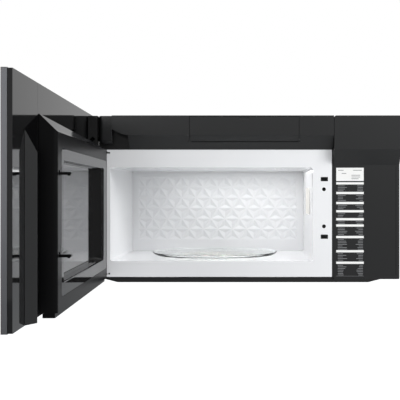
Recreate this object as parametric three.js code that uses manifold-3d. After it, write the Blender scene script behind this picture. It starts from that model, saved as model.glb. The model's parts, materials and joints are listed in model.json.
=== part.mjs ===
// Over-the-range microwave oven with a full-width door, shown with the door open.
//
// Millimetres, +Z up, +X to the right, +Y towards the wall. The origin is the middle of the
// rear face, where the wall plate holds the oven. Every piece is one closed solid in its own
// mesh. The door is drawn closed, in the cabinet's frame, and its group is then swung open.

import * as THREE from 'three';
import { mergeVertices } from 'three/addons/utils/BufferGeometryUtils.js';
import Module from 'manifold-3d';

const wasm = await Module();
wasm.setup();

// ---------------------------------------------------------------- driving dimensions

const cabinet = {
  width: 759, height: 412, depth: 374, sheet: 1.2, rearSheet: 1.5,
  edge: 1.5,                       // front and rear plates stand in from the sides by this
};

const gap = {
  seat: 0.3,      // between a piece and what carries it
  seam: 1,        // between two trim pieces side by side
  door: 0.6,      // between the closed door and the cavity frame
  turning: 2,     // round a piece that spins
  swing: 1.5,     // between a piece that swings and what it passes
};

// The opening's insets: left from the case, right from the frame's end, top from the case's top.
const cavity = {
  leftInset: 26, rightInset: 48, floorLevel: 45.5, topInset: 128.5, rearInset: 14.8,
  corner: 8, sheet: 1,
};

// Star lattice pressed in the back wall, kept that far from the cavity's corners.
const emboss = { pitch: 43.4, rowPitch: 31.4, depth: 3, sheet: 0.8, rise: 8.5, sideRoom: 16, topRoom: 9 };

const trim = {                     // dark mouldings across the front, levels from the case's top
  proud: 31,                       // how far the upper faces stand in front of the cavity frame
  crease: 49.6,                    // where the band turns back at its lower edge
  bottom: 83.6,                    // where the band meets the cavity frame
  wall: 2.4,
  endBlockWidth: 34.5,
  fasciaWidth: 168,
  fasciaTopFace: 84.8,             // lower edge of the fascia's upper face
  fasciaRecess: 122.5,             // upper edge of its recessed face
  plateOverlap: 4,                 // the upper front plate stops that far above the fascia's crease
  corner: 5,
};

const frameSheet = { bottomLevel: 5.9, gapToFascia: 3 };

// Latch slots in the frame, from the cavity's top and floor, with a round hole between them.
const slot = {
  inset: 10, width: 18.4, height: 10.8, fromTop: 29.9, fromFloor: 62.2, hole: 5,
  upperHole: 25.7, lowerHole: 26.3,
};

const pan = { drop: 7.6, sheet: 1.5, left: 15, right: 49, slope: 30, wallTop: 5.4 };

const door = {
  openAngle: 87.8,
  pivotInset: 11.5,                // hinge axis, in from the cabinet's left side
  pivotForward: 8,                 // hinge axis, in front of the cavity frame
  boxDepth: 31.4, boxWall: 2.5, boxFaceWall: 5.5, boxBottom: 5, boxTop: 1.4,
  boxEndPastPivot: 5, boxEdge: 9, boxDraft: 1.5,
  innerFrame: 7.7, frameLip: 8, seam: 7.5, skin: 10, skinWall: 1.5, corner: 1.5, edge: 1,
  pane: 3, paneBorder: 9, paneTop: 16.5, paneCorner: 10, paneLedge: 10,
};

const bottomRail = { hingeRoom: 8, freeRoom: 3, front: 5, rear: 27, drop: 3.4 };
const hingeCap = { pastPivot: 2, side: 0.5 };
const cover = { rim: 4, wall: 2.5, rib: 2 };
const screen = { inset: 4, sheet: 0.8, bead: 3, beadInset: 14, beadWidth: 4, corner: 8 };
const choke = {
  sheet: 1, depth: 20, base: 19, floor: 12, left: 4, right: 11, height: 10, clear: 0.4, slit: 5, lip: 4,
};
const doorWindow = { left: 18, right: 4, bottom: 52, top: 60, corner: 6, step: 6, glass: 3, sunk: 0.2 };
const touchPanel = {
  left: 14, right: 16, bottom: 30, top: 30, sheet: 1.6, sideRoom: 8, topRoom: 20,
  display: { width: 78, bottom: 94, top: 60, height: 1.8 },
  chip: { size: 22, rise: 161, height: 1.4 },
  socket: { aside: 39, width: 26, rise: 56, height: 1.8 },
};

const hinge = {
  upperDrop: 7.9, lowerLevel: 11.5, plate: 3, tongueWidth: 14, legHeight: 28, legWidth: 18,
  pin: 3, pinHeight: 8, bossRadius: 6.9, bossHeight: 14, sweep: 12.5,
};

const latch = {
  prong: 5, barb: 1.6, neck: 7, nose: 3, cutback: 1.5, width: 9, reach: 21.3, upperDrop: 0.6, lowerDrop: 1.9,
  bar: 10, barDepth: 10, behind: 8, window: 14, travel: 3, above: 26, below: 16,
  spring: 3.6, lugDrop: 21, lug: 3, lugWidth: 16, lugReach: 20,
};
const guide = { width: 22, rail: 3, below: 17.8, above: 23, endRoom: 5 };
const latchBody = { sideRoom: 3, depth: 42, reach: 20, face: 3, middleHeight: 60, hole: 2, holeDepth: 14 };
const doorSwitch = { behind: 26, depth: 15, side: 1, room: 6, tab: 5, tabReach: 5, plunger: 3 };

// The pull's plate: its root on the end cover, its tip towards the hinge side.
const grip = {
  rootInset: 72.5, run: 24, rise: 15, wall: 3, foot: 16, rootDrop: 89.5, tipDrop: 126.5, bottom: 1.5,
};

const glassTray = {
  edgeRoom: 6.5, rimWidth: 16.5, thickness: 4.5, rim: 8.4, bottomRise: 3.6,
  lug: { length: 4, width: 8, height: 5, radius: 14 },
};
const rollers = {
  track: 105, radius: 6, width: 5.5, round: 0.8, axle: 2, axleEnd: 3, recess: 9, recessRadius: 118,
  ring: 4, rim: { inset: 8, width: 6 }, hub: 27, hubWidth: 6, arm: 8,
};
const coupler = { radius: 9, lobe: 14.5, lobeWidth: 6, lobeHeight: 4.5, lobes: 3, shaft: 3, sunk: 0.6 };
const trayMotor = { radius: 24, height: 15, flange: 26, flangeRise: 2, chamfer: 1, shaftReach: 8 };

const blower = {
  axisInset: 88, standOff: 6.2, wheelRadius: 42, wheelWidth: 60, motorRadius: 36, motorLength: 60,
  housingWidth: 76, housingRoom: 7, housingGrowth: 8, shaft: 4, wall: 1.2, inletLip: 6,
  bearing: 13, bearingReach: 6, foot: { room: 10, width: 52, drop: 20 }, hub: 9, hubLength: 13,
  blades: 20, blade: { length: 9, sheet: 1.4, turn: 0.6, inset: 5.2, rim: 3, disc: 2 },
};
const duct = {
  width: 254, depth: 82, height: 20, flange: 10, wall: 1.2, inset: 77, flapInset: 6, flapRise: 5, barrel: 1.8,
};
const fan = {
  sideInset: 111.5, topInset: 176, radius: 43, hub: 17, frame: 100, depth: 26, corner: 6,
  screws: 42, screw: 2.2, motor: 12, bearing: 2, pin: 10, rotorInset: 6, strut: { depth: 3, width: 5 },
  blades: 7, blade: { sheet: 1.6, width: 17, turn: 0.85, inset: 1.2 },
};
const filterCover = { left: 229.7, width: 273, top: 3, bottom: 64, wall: 2.2, pin: 1.5, tab: 24 };
const greaseFilter = {
  sideRoom: 8, lampRoom: 32, frontInset: 29, rearInset: 55, thickness: 5.5, frame: 9, ledge: 6, bar: 4,
};
const cordGland = { sideInset: 79.5, inset: 60, bore: 6, neck: 3.6, flange: 15, reach: 9, rise: 4 };
const bolts = { sideInset: 79.5, frontInset: 84, rearInset: 60, hole: 4 };
const wallHooks = { insets: [119.5, 289.5], width: 34, level: 22, height: 8 };
const rearRibs = { left: 90, right: 439.5, count: 3, length: 110, height: 6, drop: 79, depth: 0.5 };
const cooktopLamp = {
  width: 96, length: 62, frontInset: 82, lens: 2.2, pin: 1.4, pivotInset: 3.4, flange: 7, height: 22, wall: 5,
  diode: 9, clip: { width: 14, depth: 3 },
};

const lamp = {
  fromRight: 77, forward: 60, grid: 40, hole: 3, radius: 24, flange: 10, plate: 1.5, taper: 4, cup: 22,
  socket: 12, height: 40,
};
const waveguide = {
  fromFront: 110, length: 168, fromTop: 49.5, height: 76, aperture: [100, 52], apertureForward: 14,
  apertureDrop: 12, wall: 1.2, reach: 28, flange: 8,
};
const guideCover = { sheet: 0.8, overlapY: 12, overlapZ: 10, corner: 5 };
const magnetron = {
  rearInset: 29, fromTop: 87.5, width: 62, depth: 84, height: 88, anode: 18, antenna: 7, reach: 16,
  yoke: 3, fins: 6, fin: 1.2,
};
const transformer = {
  sideInset: 141.5, frontInset: 112, width: 86, depth: 74, height: 70, foot: 8, footWidth: 14,
  coil: { width: 50, height: 24 }, coilLevels: [22, 54], coilReach: 14,
};
const capacitor = {
  sideInset: 154.5, frontInset: 204, width: 52, depth: 32, height: 62, tag: { aside: 12, width: 6, reach: 10 },
};
const board = {
  frontInset: 29, length: 140, bottom: 60, top: 112, stand: 14, sheet: 1.6,
  post: { inset: 10, radius: 3 },
  relay: { count: 4, room: 30, height: 16, y: 45, length: 22, width: 19 },
  supply: { height: 30, y: 40, length: 38, rise: 120, width: 44 },
  fuse: { height: 9, y: 40, length: 10, rise: 40, width: 34 },
};

// ---------------------------------------------------------------- derived planes

const span = (middle, width) => [middle - width / 2, middle + width / 2];
const grow = ([low, high], by) => [low - by, high + by];

const leftX = -cabinet.width / 2;
const rightX = cabinet.width / 2;
const frontY = -cabinet.depth;                       // outer plane of the white cavity frame
const frameBackY = frontY + cabinet.sheet;
const proudY = frontY - trim.proud;                  // upper face of the band and the fascia
const fasciaX = rightX - trim.fasciaWidth;
const up = (level) => level - cabinet.height / 2;    // level above the cabinet's lower edge
const down = (drop) => cabinet.height / 2 - drop;    // level below the cabinet's top
const frameX = [leftX + cabinet.edge, fasciaX - frameSheet.gapToFascia];

const openingX = [leftX + cavity.leftInset, frameX[1] - cavity.rightInset];
const openingZ = [up(cavity.floorLevel), down(cavity.topInset)];
const cavityY = [frameBackY, -cavity.rearInset];
const cavityMidX = (openingX[0] + openingX[1]) / 2;
const cavityMidY = (cavityY[0] + cavityY[1]) / 2;
const cavityMidZ = (openingZ[0] + openingZ[1]) / 2;

const pivotX = leftX + door.pivotInset;
const pivotY = frontY - door.pivotForward;
const doorFaceY = frontY - gap.door;
const panelY = doorFaceY - door.boxDepth;            // inner surface of the door panel
const skinBackY = panelY - door.innerFrame - gap.seat;
const doorOuterY = skinBackY - door.skin;
const boxX = [pivotX - door.boxEndPastPivot, frameX[1]];
const boxZ = [up(door.boxBottom), down(trim.bottom + door.boxTop)];
const paneX = grow(openingX, door.paneBorder);
const paneZ = grow(openingZ, door.paneTop);
const panelZ = [up(door.edge), down(door.edge)];
const seamX = fasciaX + door.seam;                   // between the inner frame and the end cover
const slotX = [frameX[1] - slot.inset - slot.width, frameX[1] - slot.inset];
const slotZ = { upper: openingZ[1] - slot.fromTop, lower: openingZ[0] + slot.fromFloor };
const holeZ = [slotZ.upper - slot.upperHole, slotZ.lower + slot.lowerHole];
const hookX = (slotX[0] + slotX[1]) / 2;
const hingeZ = [down(trim.bottom + hinge.upperDrop), up(hinge.lowerLevel)];
const panFloor = up(-pan.drop) + pan.sheet;
const sideWallX = openingX[1] + cavity.sheet;
const glandX = rightX - cordGland.sideInset;
const fanX = rightX - fan.sideInset;
const fanZ = down(fan.topInset);
const past = 2;                                      // how far a cutting tool reaches past a body

// ---------------------------------------------------------------- solids

function solidOf(geometry) {
  const bare = geometry.index ? geometry.toNonIndexed() : geometry.clone();
  bare.deleteAttribute('normal');
  bare.deleteAttribute('uv');
  const merged = mergeVertices(bare, 1e-4);
  const triangles = [];
  for (let i = 0; i < merged.index.count; i += 3) {
    const [a, b, c] = [0, 1, 2].map((k) => merged.index.getX(i + k));
    if (a !== b && b !== c && c !== a) triangles.push(a, b, c);
  }
  return new wasm.Manifold(new wasm.Mesh({
    numProp: 3,
    vertProperties: new Float32Array(merged.attributes.position.array),
    triVerts: new Uint32Array(triangles),
  }));
}

function geometryOf(solid) {
  const mesh = solid.getMesh();
  const geometry = new THREE.BufferGeometry();
  geometry.setAttribute('position', new THREE.BufferAttribute(new Float32Array(mesh.vertProperties), 3));
  geometry.setIndex(new THREE.BufferAttribute(new Uint32Array(mesh.triVerts), 1));
  geometry.computeVertexNormals();
  return geometry;
}

const join = (...solids) => solids.reduce((sum, next) => sum.add(next));
const cut = (body, ...tools) => tools.reduce((rest, tool) => rest.subtract(tool), body);
const common = (a, b) => a.intersect(b);

// Outlines are THREE.Shape in the two axes across the direction of the prism.
function polygon(points) {
  return new THREE.Shape(points.map(([u, v]) => new THREE.Vector2(u, v)));
}

function rectangle([u0, u1], [v0, v1], radius = 0) {
  if (radius <= 0) return polygon([[u0, v0], [u1, v0], [u1, v1], [u0, v1]]);
  const shape = new THREE.Shape();
  shape.moveTo(u0 + radius, v0);
  shape.lineTo(u1 - radius, v0);
  shape.absarc(u1 - radius, v0 + radius, radius, -Math.PI / 2, 0);
  shape.lineTo(u1, v1 - radius);
  shape.absarc(u1 - radius, v1 - radius, radius, 0, Math.PI / 2);
  shape.lineTo(u0 + radius, v1);
  shape.absarc(u0 + radius, v1 - radius, radius, Math.PI / 2, Math.PI);
  shape.lineTo(u0, v0 + radius);
  shape.absarc(u0 + radius, v0 + radius, radius, Math.PI, Math.PI * 1.5);
  return shape;
}

function disc(u, v, radius) {
  const shape = new THREE.Shape();
  shape.absarc(u, v, radius, 0, Math.PI * 2);
  return shape;
}

function extrude(shape, depth, curveSegments) {
  return new THREE.ExtrudeGeometry(shape, { depth, bevelEnabled: false, steps: 1, curveSegments });
}

// prismX takes an outline in (y, z), prismY in (x, z) and prismZ in (x, y).
function prismX(shape, [x0, x1], curveSegments = 4) {
  const turn = new THREE.Matrix4().makeBasis(
    new THREE.Vector3(0, 1, 0), new THREE.Vector3(0, 0, 1), new THREE.Vector3(1, 0, 0));
  return solidOf(extrude(shape, x1 - x0, curveSegments).applyMatrix4(turn).translate(x0, 0, 0));
}

function prismY(shape, [y0, y1], curveSegments = 4) {
  return solidOf(extrude(shape, y1 - y0, curveSegments).rotateX(Math.PI / 2).translate(0, y1, 0));
}

function prismZ(shape, [z0, z1], curveSegments = 4) {
  return solidOf(extrude(shape, z1 - z0, curveSegments).translate(0, 0, z0));
}

const block = (x, y, z) => prismZ(rectangle(x, y), z);
const rodX = (radius, x, y, z, sides = 24) => prismX(disc(y, z, radius), x, sides);
const rodY = (radius, x, y, z, sides = 24) => prismY(disc(x, z, radius), y, sides);
const rodZ = (radius, x, y, z, sides = 24) => prismZ(disc(x, y, radius), z, sides);

function revolveZ(profile, x, y, sides) {
  const points = profile.map(([r, z]) => new THREE.Vector2(r, z));
  return solidOf(new THREE.LatheGeometry(points, sides).rotateX(Math.PI / 2).translate(x, y, 0));
}

function aboutZ(make, turns) {
  const solids = [];
  for (let i = 0; i < turns; i += 1) solids.push(make(i * Math.PI * 2 / turns));
  return join(...solids);
}

// A row of equal things along one axis: the middles of count places in [low, high].
function places([low, high], count) {
  return Array.from({ length: count }, (_, i) => low + (high - low) * (i + 0.5) / count);
}

// ---------------------------------------------------------------- finishes and placing

const finishes = {
  satinBlackSteel: { color: '#4a4a4c', roughness: 0.35, metalness: 0.8 },
  blackMoulding: { color: '#37383a', roughness: 0.45, metalness: 0 },
  glossBlack: { color: '#17181a', roughness: 0.12, metalness: 0 },
  whiteEnamel: { color: '#dcdcde', roughness: 0.3, metalness: 0 },
  blackPaint: { color: '#1c1c1d', roughness: 0.5, metalness: 0.2 },
  zincSteel: { color: '#a9abad', roughness: 0.4, metalness: 0.9 },
  clearGlass: { color: '#cfe0df', roughness: 0.03, metalness: 0 },
  tintedGlass: { color: '#101214', roughness: 0.05, metalness: 0 },
  whiteNylon: { color: '#e6e4dd', roughness: 0.5, metalness: 0 },
  greyNylon: { color: '#7c7e80', roughness: 0.55, metalness: 0 },
  aluminium: { color: '#c3c5c7', roughness: 0.35, metalness: 1 },
  board: { color: '#2c5a3a', roughness: 0.6, metalness: 0 },
  mica: { color: '#c9c0ab', roughness: 0.7, metalness: 0 },
  charcoal: { color: '#242526', roughness: 0.9, metalness: 0 },
  copper: { color: '#a4673f', roughness: 0.45, metalness: 0.9 },
};

const oven = new THREE.Group();
const doorGroup = new THREE.Group();
doorGroup.position.set(pivotX, pivotY, 0);
doorGroup.rotation.z = -THREE.MathUtils.degToRad(door.openAngle);
oven.add(doorGroup);

function addPart(name, solid, finish, group = oven) {
  const geometry = geometryOf(solid);
  if (group === doorGroup) geometry.translate(-pivotX, -pivotY, 0);
  const mesh = new THREE.Mesh(geometry, new THREE.MeshStandardMaterial(finishes[finish]));
  mesh.name = name;
  group.add(mesh);
}

const addDoorPart = (name, solid, finish) => addPart(name, solid, finish, doorGroup);

// ---------------------------------------------------------------- outer case

function outerWrap() {
  const z = [up(0), up(cabinet.height)];
  const y = [frameBackY + gap.seat, -cabinet.rearSheet - gap.seat];
  const section = polygon([
    [leftX, z[0]], [leftX + cabinet.sheet, z[0]], [leftX + cabinet.sheet, z[1] - cabinet.sheet],
    [rightX - cabinet.sheet, z[1] - cabinet.sheet], [rightX - cabinet.sheet, z[0]], [rightX, z[0]],
    [rightX, z[1]], [leftX, z[1]],
  ]);
  const topCut = grow([z[1], z[1]], past + cabinet.sheet);
  const rest = 2;                  // what is left under the duct adapter's collar all round
  const ductHole = block(
    span(0, duct.width - rest * 2), span(-duct.inset, duct.depth - rest * 2), topCut);
  const cordHole = rodZ(cordGland.bore + cordGland.neck + gap.seat, glandX, -cordGland.inset, topCut, 12);
  const boltPlaces = [
    [leftX + bolts.sideInset, frontY + bolts.frontInset],
    [rightX - bolts.sideInset, frontY + bolts.frontInset],
    [leftX + bolts.sideInset, -bolts.rearInset],
  ];
  const boltHoles = boltPlaces.map(([x, py]) => rodZ(bolts.hole, x, py, topCut, 4));
  return cut(prismY(section, y), ductHole, cordHole, ...boltHoles);
}

function rearPanel() {
  const y = [-cabinet.rearSheet, 0];
  const plate = prismY(
    rectangle([leftX + cabinet.edge, rightX - cabinet.edge], [up(gap.seam), down(cabinet.edge)], fan.corner), y);
  const through = grow(y, past);
  const hookPlaces = wallHooks.insets.flatMap((inset) => [leftX + inset, rightX - inset]);
  const hookZ = [up(wallHooks.level), up(wallHooks.level + wallHooks.height)];
  const hooks = hookPlaces.map((x) => prismY(rectangle(span(x, wallHooks.width), hookZ), through));
  const vent = { count: 9, width: 4.5, height: 78, corner: 2 };
  const slots = places(span(fanX, fan.radius * 2 - vent.corner), vent.count)
    .map((x) => prismY(rectangle(span(x, vent.width), span(fanZ, vent.height), vent.corner), through, 2));
  const { left, right, count, length, height, drop, depth } = rearRibs;
  const dimples = places([leftX + left, leftX + right], count).map((x) => block(
    span(x, length), [y[0] - past, y[0] + depth], span(down(drop), height)));
  return cut(plate, ...hooks, ...slots, ...dimples);
}

// The bottom pan hangs below the cabinet and rises to it at both ends.
const panFlatX = [leftX + pan.left + pan.slope, rightX - pan.right - pan.slope];

function basePan() {
  const floor = up(-pan.drop);
  const ends = [leftX + cabinet.edge, rightX - cabinet.edge];
  const lean = 0.6;                // the sheet's inner corners stand in by this on the slopes
  const section = polygon([
    [ends[0], up(0)], [leftX + pan.left, up(0)], [panFlatX[0], floor],
    [panFlatX[1], floor], [rightX - pan.right, up(0)], [ends[1], up(0)],
    [ends[1], up(pan.sheet)], [rightX - pan.right - lean, up(pan.sheet)],
    [panFlatX[1] - lean, panFloor], [panFlatX[0] + lean, panFloor],
    [leftX + pan.left + lean, up(pan.sheet)], [ends[0], up(pan.sheet)],
  ]);
  const sheetY = [frameBackY + gap.seat, -cabinet.rearSheet - gap.seat];
  const wall = polygon([
    [leftX + pan.left, up(0)], [panFlatX[0], floor], [panFlatX[1], floor], [rightX - pan.right, up(0)],
    [fasciaX - gap.seam, up(0)], [fasciaX - gap.seam, up(pan.wallTop)],
    [ends[0], up(pan.wallTop)], [ends[0], up(0)],
  ]);
  const rearWall = polygon([
    [leftX + pan.left, up(0)], [panFlatX[0], floor], [panFlatX[1], floor], [rightX - pan.right, up(0)]]);
  const depth = [floor - past, panFloor + past];
  const filters = greaseFilterX.map((x) => block(
    grow(x, -greaseFilter.ledge), grow(greaseFilterY, -greaseFilter.ledge), depth));
  const lampHole = block(lampLensX, lampLensY, depth);
  return cut(
    join(prismY(section, sheetY), prismY(wall, [frontY, sheetY[0] + pan.sheet]),
      prismY(rearWall, [sheetY[1] - pan.sheet, sheetY[1]])),
    ...filters, lampHole);
}

const lampLensX = span(cavityMidX, cooktopLamp.width);
const lampLensY = span(frontY + cooktopLamp.frontInset, cooktopLamp.length);
const greaseFilterY = [frontY + greaseFilter.frontInset, -greaseFilter.rearInset];
const leftFilterX = [panFlatX[0] + greaseFilter.sideRoom, lampLensX[0] - greaseFilter.lampRoom];
const greaseFilterX = [leftFilterX, leftFilterX.map((x) => cavityMidX * 2 - x).reverse()];

// ---------------------------------------------------------------- cavity

const wellDepth = [openingZ[0] - rollers.recess, openingZ[0]];
const lampX = openingX[1] - lamp.fromRight;
const lampY = cavityMidY - lamp.forward;
const guideY = [frontY + waveguide.fromFront, frontY + waveguide.fromFront + waveguide.length];
const guideZ = [openingZ[1] - waveguide.fromTop - waveguide.height, openingZ[1] - waveguide.fromTop];
const apertureY = span(guideY[0] + waveguide.aperture[0] / 2 + waveguide.apertureForward, waveguide.aperture[0]);
const apertureZ = span(guideZ[0] + waveguide.aperture[1] / 2 + waveguide.apertureDrop, waveguide.aperture[1]);

function cavityShell() {
  const outer = prismY(rectangle(grow(openingX, cavity.sheet), grow(openingZ, cavity.sheet), cavity.corner), cavityY);
  const inner = prismY(rectangle(openingX, openingZ, cavity.corner - cavity.sheet), grow(cavityY, past));
  const well = rodZ(
    rollers.recessRadius + cavity.sheet, cavityMidX, cavityMidY, [wellDepth[0] - cavity.sheet, wellDepth[1]], 12);
  const wellInside = rodZ(
    rollers.recessRadius, cavityMidX, cavityMidY, [wellDepth[0], wellDepth[1] + past], 12);
  const shaftHole = rodZ(coupler.radius + gap.seam, cavityMidX, cavityMidY, grow(wellDepth, past), 6);
  const wave = block(grow([openingX[1], openingX[1]], past), apertureY, apertureZ);
  const lampZ = grow([openingZ[1], openingZ[1]], past);
  const lampHoles = places(span(lampX, lamp.grid), 4).flatMap((x) => places(span(lampY, lamp.grid), 4)
    .map((y) => rodZ(lamp.hole, x, y, lampZ, 2)));
  return cut(join(cut(outer, inner), well), wellInside, shaftHole, wave, ...lampHoles);
}

// The pressed back wall: every triangle of the lattice is a shallow three-sided dimple, so
// the ridges between them form six-pointed stars.
function cavityBack() {
  const y = cavityY[1] + gap.seat;
  const columns = Math.floor((openingX[1] - openingX[0] - emboss.sideRoom * 2) / emboss.pitch);
  const rows = Math.floor((openingZ[1] - openingZ[0] - emboss.topRoom * 2 - emboss.rise) / emboss.rowPitch);
  const width = columns * emboss.pitch;
  const height = rows * emboss.rowPitch;
  const x0 = cavityMidX - width / 2;
  const z0 = cavityMidZ + emboss.rise - height / 2;
  const row = (j) => {
    const shift = j % 2 ? emboss.pitch / 2 : 0;
    const xs = [];
    for (let i = 0; i <= columns; i += 1) {
      const x = shift + i * emboss.pitch;
      if (x <= width + 1e-6) xs.push(x);
    }
    return shift ? [0, ...xs, width] : xs;
  };
  const front = [];
  for (let j = 0; j < rows; j += 1) {
    const [low, high] = [row(j), row(j + 1)];
    const zs = [j * emboss.rowPitch, (j + 1) * emboss.rowPitch];
    let [a, b] = [0, 0];
    while (a < low.length - 1 || b < high.length - 1) {
      const lowNext = a < low.length - 1 ? low[a] + low[a + 1] : Infinity;
      const highNext = b < high.length - 1 ? high[b] + high[b + 1] : Infinity;
      const corners = lowNext <= highNext
        ? [[low[a], zs[0]], [low[a + 1], zs[0]], [high[b], zs[1]]]
        : [[low[a], zs[0]], [high[b + 1], zs[1]], [high[b], zs[1]]];
      if (lowNext <= highNext) a += 1; else b += 1;
      front.push(corners);
    }
  }
  const vertex = ([x, z], depth) => [x0 + x, y + depth, z0 + z];
  const positions = [];
  const push = (...points) => points.forEach((p) => positions.push(...p));
  for (const corners of front) {
    const middle = [0, 1].map((k) => (corners[0][k] + corners[1][k] + corners[2][k]) / 3);
    const small = corners.some(([x]) => x === 0) && corners.filter(([x]) => x === 0).length === 2;
    const dip = small ? emboss.depth / 2 : emboss.depth;
    for (let k = 0; k < 3; k += 1) {
      const [p, q] = [corners[k], corners[(k + 1) % 3]];
      push(vertex(p, 0), vertex(q, 0), vertex(middle, dip));
      push(vertex(q, emboss.sheet), vertex(p, emboss.sheet), vertex(middle, dip + emboss.sheet));
    }
  }
  const edge = (p, q) => {
    push(vertex(q, 0), vertex(p, 0), vertex(p, emboss.sheet));
    push(vertex(q, 0), vertex(p, emboss.sheet), vertex(q, emboss.sheet));
  };
  const [bottom, top] = [row(0), row(rows)];
  for (let i = 0; i < bottom.length - 1; i += 1) edge([bottom[i], 0], [bottom[i + 1], 0]);
  for (let i = 0; i < top.length - 1; i += 1) edge([top[i + 1], height], [top[i], height]);
  for (let j = 0; j < rows; j += 1) {
    edge([width, j * emboss.rowPitch], [width, (j + 1) * emboss.rowPitch]);
    edge([0, (j + 1) * emboss.rowPitch], [0, j * emboss.rowPitch]);
  }
  const geometry = new THREE.BufferGeometry();
  geometry.setAttribute('position', new THREE.Float32BufferAttribute(positions, 3));
  const pattern = solidOf(geometry);
  const plate = prismY(
    rectangle(grow(openingX, cavity.sheet), grow(openingZ, cavity.sheet), cavity.corner), [y, y + emboss.sheet]);
  const overlap = 0.5;
  const hole = prismY(
    rectangle([x0 + overlap, x0 + width - overlap], [z0 + overlap, z0 + height - overlap]), [y - past, y + emboss.depth + past]);
  return join(cut(plate, hole), pattern);
}

function frontFrame() {
  const y = [frontY, frameBackY];
  const through = grow(y, past);
  const plate = prismY(rectangle(frameX, [up(frameSheet.bottomLevel), down(trim.bottom) - gap.seat]), y);
  const opening = prismY(rectangle(openingX, openingZ, cavity.corner - cavity.sheet), through);
  const slots = Object.values(slotZ)
    .map((z) => prismY(rectangle(slotX, span(z, slot.height), cabinet.edge), through, 2));
  const holes = holeZ.map((z) => rodY(slot.hole, hookX - 1, through, z, 4));
  const tongueX = span(pivotX, hinge.tongueWidth + gap.seat * 4);
  const tongues = hingeZ.map((z) => block(tongueX, through, grow([z, z + hinge.plate], gap.seat)));
  return cut(plate, opening, ...slots, ...holes, ...tongues);
}

function upperFrontPlate() {
  const plate = prismY(
    rectangle([frameX[0], rightX - cabinet.edge], [down(trim.bottom), down(cabinet.edge)]), [frontY, frameBackY]);
  const through = grow([frontY, frameBackY], past);
  const fascia = block(
    [fasciaX - gap.seam, rightX], through, [up(0), down(trim.fasciaTopFace - trim.plateOverlap)]);
  const width = 72;
  const z = [down(filterCover.bottom) + 16, down(filterCover.top) - 11];
  const windows = places(filterX(-16), 3).map((x) => block(span(x, width), through, z));
  return cut(plate, fascia, ...windows);
}

// ---------------------------------------------------------------- front mouldings

// A moulding's section in (y, z): an upright face that turns back at its crease and slopes
// to the frame. With a wall given, it is the hollow behind that section.
function mouldingSection(crease, bottom, back, wall = 0) {
  const rise = (bottom - crease) / trim.proud;
  const slopeZ = (y) => down(bottom) + (frontY - y) * rise + wall * Math.hypot(1, rise);
  const top = down(wall);
  const [y0, y1] = [wall ? back + past : back, proudY + wall];
  return polygon([[y0, top], [y1, top], [y1, slopeZ(y1)], [y0, slopeZ(y0)]]);
}

function hollowMoulding(x, crease, bottom, back) {
  return cut(
    prismX(mouldingSection(crease, bottom, back), x),
    prismX(mouldingSection(crease, bottom, back, trim.wall), grow(x, -trim.wall)));
}

const filterX = (by = 0) => grow([leftX + filterCover.left, leftX + filterCover.left + filterCover.width], by);
const bandX = [leftX + trim.endBlockWidth + gap.seam, fasciaX - gap.seam];
const anyZ = grow([up(0), down(0)], past);

// The end block stands back, and its corner is round the hinge axis, for the cap on the door.
const endBlockX = [leftX, leftX + trim.endBlockWidth];

function endBlockPlan(inset) {
  const x = grow(endBlockX, -inset);
  const radius = door.pivotInset - inset;
  const back = frontY + (inset ? past : 0);
  const shape = new THREE.Shape();
  shape.moveTo(x[1], back);
  shape.lineTo(x[0], back);
  shape.lineTo(x[0], pivotY);
  shape.absarc(pivotX, pivotY, radius, Math.PI, Math.PI * 1.5);
  shape.lineTo(x[1], pivotY - radius);
  return shape;
}

function bandEndBlock() {
  const foot = { tip: 59, heel: 70, run: 9.5 };      // its lower edge rises towards the hinge side
  const [left, right] = grow(endBlockX, past);
  const outline = prismY(polygon([
    [left, down(foot.tip)], [leftX, down(foot.tip)], [leftX + foot.run, down(foot.heel)], [right, down(foot.heel)],
    [right, down(0)], [left, down(0)],
  ]), [proudY, frontY - gap.seat]);
  const slope = prismX(mouldingSection(trim.crease, trim.bottom, frontY), [left, right]);
  const body = common(common(prismZ(endBlockPlan(0), anyZ, 6), outline), slope);
  return cut(body, prismZ(endBlockPlan(trim.wall), [down(foot.tip) + trim.wall, down(trim.wall)], 6));
}

function ventBand() {
  const body = hollowMoulding(bandX, trim.crease, trim.bottom, frontY - gap.seat);
  const deep = [proudY - past, frontY + past];
  const notch = { width: 42, bend: 22, height: 17, lip: 2 };
  const x0 = bandX[0] - past;
  const shape = new THREE.Shape();
  shape.moveTo(x0, anyZ[0]);
  shape.lineTo(x0 + notch.width, anyZ[0]);
  shape.lineTo(x0 + notch.width, down(trim.crease));
  shape.quadraticCurveTo(
    x0 + notch.bend, down(trim.crease) + notch.lip, x0, down(trim.crease) + notch.height);
  const windowY = [proudY - past, frontY - trim.wall * 3];
  const window = block(filterX(coverGap), windowY, [filterZ[0] - coverGap * 2, filterZ[1] + coverGap]);
  const vent = { count: 22, width: 15, left: 30, right: 20, front: 8, rear: 6 };
  const louvres = places([bandX[0] + vent.left, bandX[1] - vent.right], vent.count).map((x) => block(
    span(x, vent.width), [proudY + vent.front, frontY - vent.rear], grow([down(0), down(0)], trim.wall + past)));
  const ear = 4;
  const earY = grow([filterPivot.y, filterPivot.y], ear);
  const earZ = grow([filterPivot.z, filterPivot.z], ear);
  const [left, right] = filterX(coverGap);
  const ears = [block([left - ear, left], earY, earZ), block([right, right + ear], earY, earZ)];
  const bores = rodX(filterCover.pin + gap.seat, filterX(6), filterPivot.y, filterPivot.z, 4);
  return cut(join(cut(body, prismY(shape, deep), window), ...ears), bores, ...louvres);
}

// The cover turns on two pins just inside its lower edge.
const coverGap = 0.8;
const filterZ = [down(filterCover.bottom), down(filterCover.top)];
const slopeRun = trim.proud / (trim.bottom - trim.crease);
const filterFootY = proudY + (filterCover.bottom - trim.crease) * slopeRun;
const filterPivot = { y: filterFootY + 2.6, z: filterZ[0] + 2.2 };

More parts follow.
